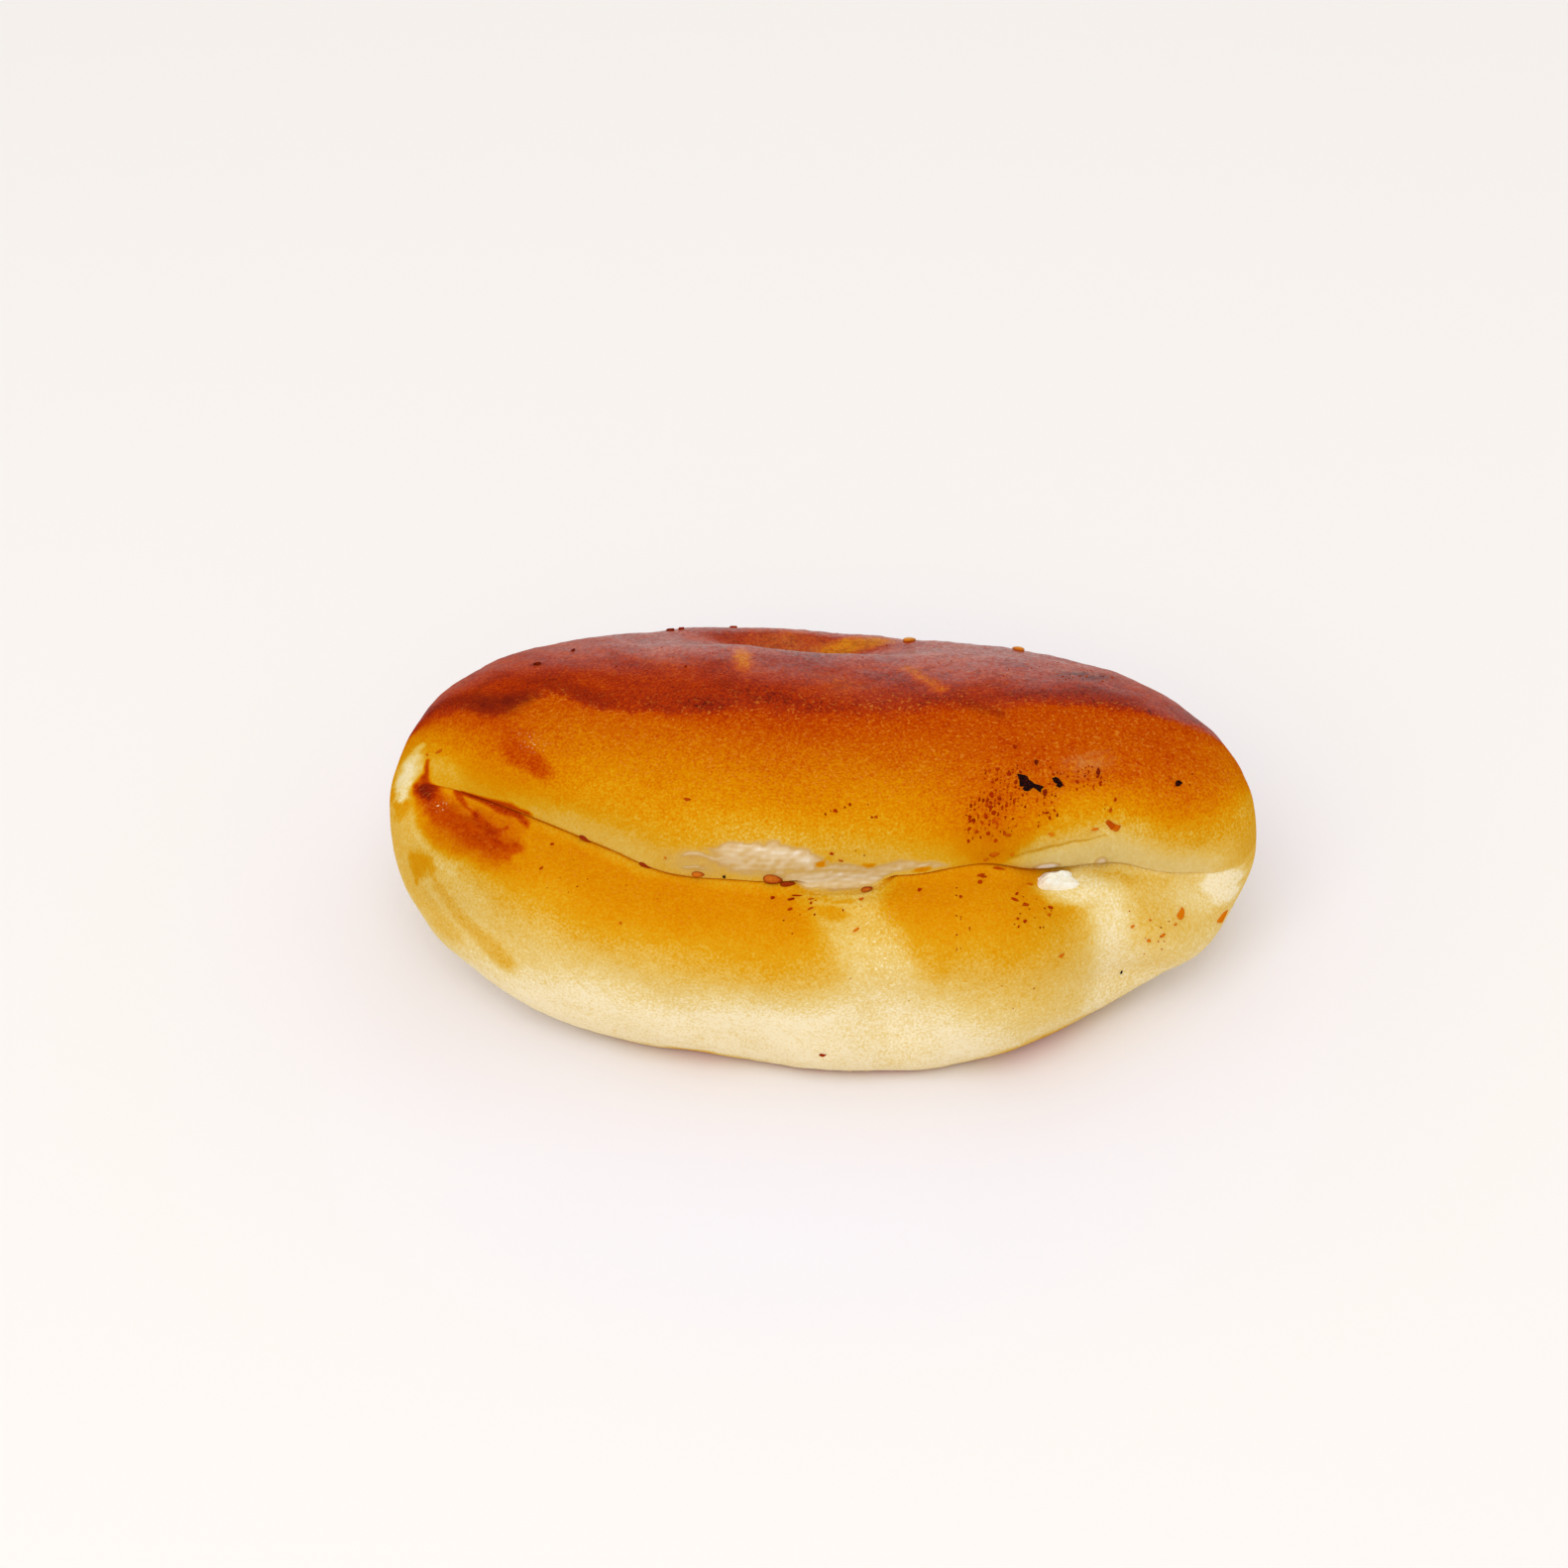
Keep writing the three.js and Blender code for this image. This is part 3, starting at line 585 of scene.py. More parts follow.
def silk_of(m, lip):
    """How white and silky the dough is, from 0 to 1, with painted highlights and a painted reflection mixed
    in as the same pale colour.
    """
    x, d, u, v = m.x, m.d, m.u, m.v
    top, foot = through(SILK_TOP, x), through(SILK_FOOT, x)
    soft = 0.5 + 0.7 * (1 - ramp(x, -3, 1))
    worn = top + 0.22 * m.wobble + 0.15 * m.fine
    silk_and_highlights = window(v, foot - soft, foot + soft, worn - 0.45, worn + 0.45)
    silk_and_highlights = silk_and_highlights * ramp(x + 0.6 * v, -13.5, -7.5) * (1 - ramp(x, 20, 25))
    # Its brightness: a painted highlight along the upper edge, darker towards the foot and along a crease,
    # and uneven with noise.
    silk_tone_and_painted_light = 0.66 + 0.17 * bell(v, top - 1.2, 1.5) * window(x, -15, -9, 1, 5)
    silk_tone_and_painted_light = silk_tone_and_painted_light + 0.12 * bell(v, 0.8, 1.3) * window(x, -1, 1, 10, 13)
    silk_tone_and_painted_light = silk_tone_and_painted_light - 0.14 * bell(v, foot + 0.6, 1.2) * (1 - ramp(x, -4, 0))
    silk_tone_and_painted_light = silk_tone_and_painted_light - 0.2 * brush(x, v, SILK_CREASE, 0.9)
    silk_tone_and_painted_light = silk_tone_and_painted_light + 0.1 * waves(x, d, 1, 15, stretch=1.5) + 0.05 * m.ripple
    silk_and_highlights = silk_and_highlights * silk_tone_and_painted_light * (1 - spots(u, v, TAWNY_DROPS))
    # Painted highlights along those folds.
    painted_fold_glints = 0.75 * union(*(brush(u, v, fold, 0.8) for fold in GLINTING_FOLDS))
    # Paler on the lip, and the hazes with their painted highlight and reflection.
    pale_and_highlight_veil = union(0.2 * lip, spots(u, v, PALE_AND_HIGHLIGHT_HAZES)) * m.upper
    return np.maximum.reduce([silk_and_highlights, painted_fold_glints, spots(x, d, PALE_AND_GLINTING_LUMPS), pale_and_highlight_veil])


def marks_of(m):
    """The fields that colour the crust, each from 0 to 1, at every point of the mesh."""
    x, d, u, v = m.x, m.d, m.u, m.v
    glaze, over = glaze_of(m)
    lip, pale = pale_above(m)
    bake, bare = browning(m, glaze, over, pale)

    # Light is weaker in the turn of the upper lobe and in the folds than the form makes it.
    shade = 0.6 * bell(d, 2, 5) * m.upper * between(LIP_SHADE, x)
    smudge = union(
        spots(u, v, SMUDGES),
        strokes(u, v, SMUDGE_STROKES),
        0.22 * brush(x, d + 0.1 * m.ripple, LIP_LINE, 0.9),
    )
    soot = spots(u, v, SOOTY) * np.clip(0.95 + 0.6 * waves(x, d, 1.5, 17, stretch=2.5), 0, 1)

    crossing = 5 * bell(x, 8, 16)  # here the blisters run on over the edge of the glaze
    blister = (1 + 0.35 * waves(x, d, 3, 19)) * ramp(d, 7, 20) * m.upper
    blister = blister * (1 - 0.75 * ramp(over - crossing, -1, 5)) * (1 - 0.5 * ramp(-x, 30, 55))
    grain = (0.4 + 0.6 * ramp(d, 3, 10)) * (1 - 0.4 * pale) * m.upper + 0.6 * m.lower

    lean_at = between(SHEEN_LEAN, x)
    sheen = glaze * between(SHEEN_STRENGTH, x) * (0.05 + 0.95 * ramp(m.lean, lean_at, lean_at + 10))
    sheen = sheen * (1 - 0.7 * union(smudge, bare)) * (1 + 0.16 * waves(x, d, 4, 18, stretch=3))
    return {
        "bake": bake,
        "silk_and_highlights": np.clip(silk_of(m, lip), 0, 1),
        "smudge": union(smudge, soot),
        "sheen": sheen,
        "glint": spots(x, d, GLINTS),
        "grain": grain * (1 + 0.3 * ramp(d, 32, 40)),
        "blister": np.maximum(blister, 0.4 * m.lower * ramp(bake, 0.15, 0.4)),
        "dim": union(shade, spots(x, d, SHADES)),
    }


def fine_relief(x, d, marks):
    """Unevenness of the skin, outward: slow lumps, the pocket's puckers, the silky stretch."""
    out = 0.16 * waves(x, d, 13, 21) + 0.035 * waves(x, d, 3.4, 22)
    out = out + 0.03 * waves(x, d, 1.8, 23) * marks["sheen"]
    out = out + 0.3 * brush(x, d, SCORCHES[0][2], 0.8)
    out = out + 0.3 * waves(x, d, 2.6, 24) * blob(x, d, (-51.5, -3.6), (8.4, 3.8), -8, 0.4)
    out = out - 0.5 * blob(x, d, (-53.5, -2.4), (3.6, 1.2), -15, 0.7)
    out = out + 0.1 * marks["silk_and_highlights"] * waves(x, d, 1.6, 25, stretch=2)
    top = through(SILK_TOP, x)
    here = window(x, -18, -13, 12, 22)
    out = out - 0.45 * here * (1 - ramp(d, top - 0.7, top + 0.3)) * ramp(d, 0.3, 1.5)
    out = out + 0.3 * here * bell(d, 0.9, 1.2) * ramp(x, -2, 1)
    out = out - 0.6 * brush(x, d, TONGUE_FOOT, 0.9)
    for fold in GLINTING_FOLDS:
        out = out + 0.25 * brush(x, d, fold, 0.9)
    for height, *form in SKIN_BUMPS:
        out = out + height * blob(x, d, *form)
    return out


# ---- the crust mesh


def crust_grid():
    """Points of a grid of rings along the bun, their x, d and degrees, and the marks on them."""
    sine = np.sin(np.pi * np.arange(1, RINGS) / RINGS - np.pi / 2)
    t = (np.sign(sine) * np.abs(sine) ** RING_PITCH_POWER)[:, None]
    w = (2 * np.arange(COLUMNS) / COLUMNS - 1)[None, :]
    x = HALF_LENGTH * t
    crowded = np.pi * w - SEAM_CROWDING * np.sin(np.pi * w)
    angle = np.radians(through(SEAM_ANGLES, x)) + crowded
    x, t = x + 0 * angle, t + 0 * angle
    base = loaf(t, angle)
    reach = np.linalg.norm(np.diff(base, axis=1), axis=2)
    length = np.concatenate([np.zeros((len(t), 1)), np.cumsum(reach, axis=1)], axis=1)
    d = length - length[:, COLUMNS // 2, None]
    tiny = 1e-4
    around = unit(loaf(t, angle + tiny) - loaf(t, angle - tiny))
    along = unit(loaf(t + tiny, angle) - loaf(t - tiny, angle))
    outward = unit(np.cross(along, around))
    degrees = np.mod(np.degrees(angle) + 90, 360) - 90
    share = np.minimum(1, cap(t, 2.2) * 1.6)
    out, tuck = relief(x, degrees, d)
    bridged = window(x, *BRIDGE)
    out = out + through(SLIT_DEPTHS, x) * bridged * tuck / SLIT["tuck"]
    tuck = tuck * (1 - bridged)
    lean = np.degrees(np.arctan2(outward[..., 2], -outward[..., 1]))
    marks = marks_of(measures_of(x, d, degrees, base[..., 2], lean))
    calm = 1 - ramp(np.abs(w), 0.88, 0.98)  # for the line at the back where d changes its sign
    out = (out + fine_relief(x, d, marks) * calm) * share
    points = base + outward * out[..., None] + around * (tuck * share)[..., None]
    points[..., 2] = np.maximum(points[..., 2], 0)
    points[..., 1] += SET_BACK
    return points, x, d, degrees, marks


def grid_faces(rings, columns):
    """Quads of a grid of rings that closes round, with a fan to a tip at each end."""
    i, j = np.meshgrid(np.arange(rings - 1), np.arange(columns), indexing="ij")
    k = (j + 1) % columns
    here, beyond = i * columns, (i + 1) * columns
    quads = np.stack([here + j, beyond + j, beyond + k, here + k], -1)
    left, right = rings * columns, rings * columns + 1
    last = (rings - 1) * columns
    faces = [tuple(q) for q in quads.reshape(-1, 4).tolist()]
    faces += [(left, a, (a + 1) % columns) for a in range(columns)]
    faces += [(right, last + (a + 1) % columns, last + a) for a in range(columns)]
    return faces


def new_object(name, data):
    made = bpy.data.objects.new(name, data)
    bpy.context.scene.collection.objects.link(made)
    return made


def new_mesh(name, points_mm, faces, fields=None, smooth=True):
    mesh = bpy.data.meshes.new(name)
    mesh.from_pydata((np.asarray(points_mm) * MM).tolist(), [], faces)
    for field, values in (fields or {}).items():
        attribute = mesh.attributes.new(field, "FLOAT", "POINT")
        attribute.data.foreach_set("value", np.ascontiguousarray(values, np.float32).ravel())
    if smooth:
        mesh.shade_smooth()
    mesh.update()
    return new_object(name, mesh)


def fit_inside(points):
    """The points drawn in evenly along each axis where they would pass the solid's box."""
    low, high = (np.array(corner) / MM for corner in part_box("bun"))
    middle, half = (low + high) / 2, (high - low) / 2
    reach = np.abs(points - middle).reshape(-1, 3).max(0)
    shrink = np.minimum(1, half / reach)
    shrink[2] = min(1, high[2] / points[..., 2].max())
    centre = np.array([middle[0], middle[1], 0])
    return centre + (points - centre) * shrink


def crust_piece():
    points, x, d, degrees, marks = crust_grid()
    points = fit_inside(points)
    ends = points[0, :, 0].min(), points[-1, :, 0].max()
    tips = np.array([[x_end, SET_BACK, TIP_HEIGHT] for x_end in ends])
    everything = np.concatenate([points.reshape(-1, 3), tips])
    fields = {}
    for name, values in marks.items():
        at_tips = [values[0].mean(), values[-1].mean()]
        fields[name] = np.concatenate([np.clip(values, 0, 1).ravel(), at_tips])
    bun = new_mesh("bun_crust", everything, grid_faces(*points.shape[:2]), fields)
    return bun, (points, x, d, degrees)


def spot(grid, x, value, by="d"):
    """A frame at a place of the crust: x along the bun, y up round the section, z outward."""
    points, xs, ds, degrees = grid
    i = int(np.argmin(np.abs(xs[:, 0] - x)))
    j = int(np.argmin(np.abs((ds if by == "d" else degrees)[i] - value)))
    reach = 3
    i0, i1 = max(i - reach, 0), min(i + reach, len(points) - 1)
    j1 = (j + 1) % points.shape[1]
    along = unit(points[i1, j] - points[i0, j])
    around = unit(points[i, j1] - points[i, j - 1])
    outward = unit(np.cross(along, around))
    return np.stack([along, np.cross(outward, along), outward], 1), points[i, j]


# ---- toppings

SEED = {"half_length": 1.5, "half_width": 0.85, "half_thickness": 0.5, "taper": 0.25}
SEED_RISE = 0.15
CROWN_HEIGHT = (0.3, 0.9)  # shares of a seed's half thickness between which its rim turns to crown
# x, d, turn, size, width, rise and tone (1 darkest) of each seed in the seam.
SEAM_SEEDS = [
    (-33.5, 0.7, -20, 0.7, 0.65, 0, 0.95), (-23.8, 0.4, -10, 0.75, 0.5, 0, 0.95),
    (-15.4, 1.7, 4, 0.65, 0.8, 0.05, 0.6), (-4.1, 1.4, -8, 1, 0.82, 0.25, 0.72),
    (-1.4, 0.5, -18, 0.78, 1, 0.5, 0.7), (10.9, -1.1, 14, 0.6, 0.9, 0.15, 0.7),
]
TOP_SEEDS = {"places": [(12.2, 141), (29.6, 138)], "size": 0.8, "tones": (0.4, -0.3)}
BACK_SEEDS = {"count": 7, "half_span": 46, "angles": (148, 172), "size": 1, "tones": (0.35, -0.3)}
SEAM_TONES = (0.28, -0.36)  # added to a seed's own tone, at its rim and by how much of it is crown


def seed_draws(seed):
    state = seed
    while True:
        state = (state * 1664525 + 1013904223) % 4294967296
        yield state / 4294967296


def drop_points(rows=14, columns=16):
    """A flat drop, narrower at one end, as rings from its blunt end to its tip."""
    u = np.pi * np.arange(1, rows) / rows
    v = 2 * np.pi * np.arange(columns) / columns
    along = -np.cos(u)[:, None] + 0 * v
    width = np.sin(u)[:, None] * (1 - SEED["taper"] * along) + 0 * v
    across = width * np.cos(v) * SEED["half_width"]
    upward = width * np.sin(v) * SEED["half_thickness"]
    points = np.stack([along * SEED["half_length"], across, upward], -1)
    tips = np.array([[-SEED["half_length"], 0, 0], [SEED["half_length"], 0, 0]])
    return np.concatenate([points.reshape(-1, 3), tips]), grid_faces(rows - 1, columns)


def scatter(name, placed, material, rounded=False):
    """One mesh of many small pieces, each of points, faces, axes, place, turn, rise and tone."""
    points, faces, tones = [], [], []
    for own, own_faces, axes, place, turn, rise, tone in placed:
        start = sum(len(p) for p in points)
        a = math.radians(turn)
        spin = np.array([[math.cos(a), -math.sin(a), 0], [math.sin(a), math.cos(a), 0], [0, 0, 1]])
        points.append((own @ spin.T + [0, 0, rise]) @ axes.T + place)
        faces += [tuple(start + k for k in face) for face in own_faces]
        tones.append(tone + np.zeros(len(own)))
    fields = {"tone": np.concatenate(tones)}
    piece = new_mesh(name, np.concatenate(points), faces, fields, smooth=rounded)
    piece.data.materials.append(material)
    return piece


def sesame_piece(grid, material):
    draw = seed_draws(7)
    own, own_faces = drop_points()
    crown = ramp(own[:, 2] / SEED["half_thickness"], *CROWN_HEIGHT)
    placed = []
    for x, d, turn, size, width, rise, tone in SEAM_SEEDS:
        axes, place = spot(grid, x, d)
        shape = own * [size, size * width, size]
        tones = tone + SEAM_TONES[0] + SEAM_TONES[1] * crown
        placed.append((shape, own_faces, axes, place, turn, rise, tones))

    def place_behind(x, degrees, kind):
        axes, place = spot(grid, x, degrees, by="degrees")
        tones = kind["tones"][0] + kind["tones"][1] * crown
        shape = own * kind["size"]
        placed.append((shape, own_faces, axes, place, 180 * next(draw), SEED_RISE, tones))

    for x, degrees in TOP_SEEDS["places"]:
        place_behind(x, degrees, TOP_SEEDS)
    low, high = BACK_SEEDS["angles"]
    for i in range(BACK_SEEDS["count"]):
        x = BACK_SEEDS["half_span"] * (2 * (i + next(draw)) / BACK_SEEDS["count"] - 1)
        place_behind(x, low + (high - low) * next(draw), BACK_SEEDS)
    return scatter("sesame_seeds", placed, material, rounded=True)


# x, d, length, width, turn and tone (0 black, 1 orange) of each burnt flake.
FLAKES = [
    (33.1, 15.1, 2.3, 2.7, 10, 0), (33.9, 14.3, 2.1, 1.5, -20, 0), (35, 14, 1.8, 1.2, -5, 0),
    (33.3, 13.7, 1, 1.1, 0, 0),
    (37.7, 15.2, 1.3, 1.5, 20, 0), (38.3, 14.6, 1.3, 1.1, -30, 0), (34.7, 18.9, 1.2, 0.7, -55, 0.15),
    (31.4, 21.8, 1, 0.6, -45, 0.4), (55.8, 16.4, 1.1, 1.6, -12, 0), (54.8, 17, 0.6, 0.5, 0, 0.6),
    (36.3, 13, 0.6, 1.5, 15, 0.25), (43.9, 16.8, 0.6, 1.5, 4, 0.2), (43.9, 15.8, 0.5, 0.6, 0, 0.3),
    (41.3, 15.2, 0.5, 0.7, 20, 0.4), (30.4, 15.8, 0.7, 0.8, 10, 0.4), (28.6, 12, 0.7, 1, 20, 0.45),
    (28.6, 10, 0.9, 0.6, 10, 0.35), (28, 8.6, 0.7, 1, 15, 0.45), (28.1, 5.7, 0.8, 0.7, -30, 0.45),
    (26.4, 6.1, 0.8, 0.5, 10, 0.5), (31.5, 5.9, 1.2, 0.6, 5, 0.6), (30.5, 6.2, 0.5, 0.5, 0, 0.55),
    (36.9, 10, 0.7, 0.5, 10, 0.35), (37.4, 9.2, 0.5, 0.6, 0, 0.4), (25.2, 8, 0.5, 0.9, 20, 0.45),
    (46.9, 7.7, 2.1, 1.1, -35, 0.6), (47.6, 7.1, 1.3, 1.5, -20, 0.75), (46.9, 11.4, 0.35, 0.8, 5, 0.5),
    (46.4, 10, 0.5, 0.7, -10, 0.6), (37.8, 6.5, 1, 0.5, 10, 0.95), (44.4, 7.3, 1.3, 0.5, 10, 0.95),
    (27.6, -1.3, 1.4, 0.5, 8, 0.55), (28.4, -1.7, 1, 0.4, 5, 0.5), (28, -2.5, 0.9, 0.7, 10, 0.5),
    (30.6, -0.5, 2.2, 0.45, -4, 0.6), (29.6, 2.7, 1.9, 0.7, 18, 0.7), (28.4, 1.7, 0.9, 0.4, 20, 0.75),
    (32.2, 3, 0.8, 0.4, 15, 0.9), (33.5, -3.9, 0.8, 0.5, 40, 0.5), (33.1, -4.9, 1.2, 0.5, -20, 0.5),
    (34.4, -5.4, 1.2, 0.7, 5, 0.55), (38.8, -5.7, 0.8, 0.6, -20, 0.5), (38.7, -6.8, 1.1, 0.35, -5, 0.75),
    (34.2, -8, 0.7, 0.6, 30, 0.4), (33, -7.9, 0.5, 0.35, 20, 0.5), (36.2, -1.9, 1.1, 0.3, -10, 0.8),
    (57.4, -5.7, 1.4, 2.1, -25, 1), (53.7, -9.1, 0.5, 1, -30, 0.9), (51.6, -10.8, 0.8, 0.6, 0, 0.95),
    (50, -9, 0.4, 0.7, -20, 0.95), (55.9, -7.2, 0.8, 0.3, 30, 0.95), (52.4, -7.4, 0.5, 0.4, 0, 0.95),
    (63, -8.2, 2.6, 1.7, -10, 1), (39, -12.7, 1.1, 0.5, 15, 0.9), (18.6, -2.1, 0.7, 0.6, 10, 0.5),
    (25, -4.9, 0.5, 0.7, 0, 0.5), (0.2, -1.8, 2, 0.25, -4, 0.45), (-0.5, -2.3, 1, 0.4, 10, 0.35),
    (-3.8, -1.9, 0.9, 0.5, 10, 0.4), (-0.5, -4.1, 0.8, 0.4, 10, 0.5), (2.2, -4.3, 0.9, 0.35, 15, 0.65),
    (2, -2.5, 0.9, 0.3, 0, 0.7), (10, -2.9, 0.8, 0.4, 10, 0.75), (9, -8.5, 1.1, 0.45, 30, 0.95),
    (-38.2, -2.6, 0.7, 0.5, 30, 0.5), (-39, -7.1, 0.5, 0.7, -20, 0.55), (-26, -9.2, 0.4, 0.6, 30, 0.8),
    (-17.2, 13.2, 1.1, 0.5, 5, 0.55), (4.9, 11.6, 0.8, 0.8, 0, 0.45), (7.1, 12.4, 0.45, 0.55, 20, 0.4),
    (4.9, 5, 0.9, 0.5, -20, 0.5), (6.3, 3.7, 0.7, 0.3, -15, 0.6), (11.3, 10.6, 0.5, 0.5, 0, 0.6),
    (-45.6, 34.3, 1.4, 0.9, 15, 0.15), (-40.5, 42.1, 0.5, 1.1, 0, 0.15), (-21, 43, 0.4, 0.4, 0, 0.3),
    (3.6, -31.9, 1.1, 0.8, 0, 0.35), (49, -20.4, 0.35, 0.9, -5, 0), (-11.1, 1.4, 0.45, 0.7, 10, 0),
    (-58.6, 7.2, 1.2, 0.6, 20, 0.75), (-60.5, 6, 0.6, 0.35, -40, 0.85), (-20.7, 3.7, 0.6, 0.4, -20, 0.9),
]
# The same for the crumbs on the ridge, whose places are x and the angle round the section.
RIDGE_FLAKES = [
    (-26.3, 139, 1.6, 1.1, 0, 0.2), (-24.9, 139, 0.9, 0.7, 30, 0.3), (-16.5, 143, 1.8, 1, 0, 0.35),
]
# Stretches of the crust strewn with specks: count, x range, d range, largest length.
SPECKS = [
    (54, (24.6, 29.5), (4.6, 12.4), 0.95), (70, (26, 33), (9.4, 16.8), 0.9),
    (24, (29.5, 32.5), (5.8, 13), 0.6), (24, (33, 38.5), (7.4, 14.2), 0.85),
    (14, (31, 36), (16.5, 19.5), 0.5), (40, (36.5, 44.8), (13.6, 18.4), 0.7),
    (8, (44.6, 48.2), (9, 16), 0.6), (9, (3, 12), (4, 14), 0.55), (9, (-3, 10), (-8, -0.8), 0.6),
    (10, (23.8, 26.4), (-13, -3), 0.45), (12, (32, 39), (-9, -4), 0.5), (9, (49, 57), (-14, -6), 0.4),
    (8, (-42, -20), (-10, -3), 0.35), (12, (-40, 46), (32, 48), 0.35), (5, (-30, 40), (-28, -16), 0.3),
    (16, (-50, 50), (56, 86), 0.4), (6, (54, 58), (15, 20), 0.5), (16, (37, 45.5), (40.6, 44.6), 0.8),
    (26, (-30, 48), (36, 50), 0.3),
]
SMALLEST_SPECK = 0.22
FLAKE_RINGS = [(0.96, -0.5), (1.0, 0.1), (0.74, 0.5)]  # share of the outline, height in thicknesses
FLAKE_BEND, FLAKE_PEAK = 0.12, 0.55


def flake_points(length, width, draw, thickness=0.32, sides=7):
    """A scrap with an uneven outline and a top that is drawn in and bent a little."""
    outline = []
    for k in range(sides):
        a = 2 * math.pi * k / sides
        reach = 0.55 + 0.75 * next(draw)
        outline.append((length / 2 * reach * math.cos(a), width / 2 * reach * math.sin(a)))
    points = []
    for share, height in FLAKE_RINGS:
        for k, (u, v) in enumerate(outline):
            bend = FLAKE_BEND * math.sin(3 * k)
            points.append((share * u, share * v, thickness * (height + bend)))
    faces = [tuple(reversed(range(sides)))]
    last = len(FLAKE_RINGS) - 1
    for k in range(sides):
        beside = (k + 1) % sides
        for start in range(0, last * sides, sides):
            upper = start + sides
            faces.append((start + k, start + beside, upper + beside, upper + k))
        faces.append((last * sides + k, last * sides + beside, len(points)))
    return np.array(points + [(0, 0, thickness * FLAKE_PEAK)]), faces


def flakes_piece(grid, material):
    draw = seed_draws(31)
    placed = []
    for flakes, by in ((FLAKES, "d"), (RIDGE_FLAKES, "degrees")):
        for x, at, length, width, turn, tone in flakes:
            axes, place = spot(grid, x, at, by=by)
            own, own_faces = flake_points(length, width, draw)
            placed.append((own, own_faces, axes, place, turn, 0.08, tone))
    return scatter("burnt_flakes", placed, material)


def specks_piece(grid, material):
    draw = seed_draws(53)
    placed = []
    for count, (x0, x1), (d0, d1), largest in SPECKS:
        for _ in range(count):
            x, d = x0 + (x1 - x0) * next(draw), d0 + (d1 - d0) * next(draw)
            length = SMALLEST_SPECK + (largest - SMALLEST_SPECK) * next(draw) ** 2
            width = length * (0.5 + 0.4 * next(draw))
            own, own_faces = flake_points(length, width, draw, thickness=0.14, sides=6)
            axes, place = spot(grid, x, d)
            turn = 90 + 70 * (next(draw) - 0.5)
            placed.append((own, own_faces, axes, place, turn, 0.02, 0.25 + 0.6 * next(draw)))
    return scatter("baked_specks", placed, material)


# ---- the cheese

CHEESE = {"x": 41.2, "below": 2, "proud": 1.7}
CHEESE_HALVES = [4.7, 1.9, 6.5]  # along the bun, up and into it


def cheese_piece(grid, material):
    """A crumbly lump, squared a little, with its rough end showing in the gap."""
    rows, columns = 60, 72
    u = (np.pi * np.arange(1, rows) / rows)[:, None]
    v = (2 * np.pi * np.arange(columns) / columns)[None, :]
    ball = np.stack([np.sin(u) * np.cos(v), np.sin(u) * np.sin(v), -np.cos(u) + 0 * v], -1)
    ball = np.concatenate([ball.reshape(-1, 3), [[0, 0, -1], [0, 0, 1]]])
    squareness = (np.abs(ball) ** 3).sum(-1) ** (-1 / 3)
    x, y, z = ball.T
    swell = 1 + 0.05 * np.sin(5 * x + 3 * z) + 0.05 * np.sin(4 * y - 5 * x + 1)
    swell = swell + 0.02 * waves(4 * x + 2 * z, 4 * y - z, 2, 41)
    swell = swell + 0.008 * waves(4 * x, 4 * y + 3 * z, 1, 42)
    own = ball * (squareness * swell)[:, None] * CHEESE_HALVES
    axes, place = spot(grid, CHEESE["x"], -CHEESE["below"])
    own = (own + [0, 0, CHEESE["proud"] - CHEESE_HALVES[2]]) @ axes.T + place
    piece = new_mesh("cheese_filling", own, grid_faces(rows - 1, columns))
    piece.data.materials.append(material)
    return piece


# ---- materials


def linear(rgb):
    """Linear colour of 0 to 255 display values."""
    values = [c / 255 for c in rgb]
    return tuple(c / 12.92 if c <= 0.04045 else ((c + 0.055) / 1.055) ** 2.4 for c in values) + (1,)


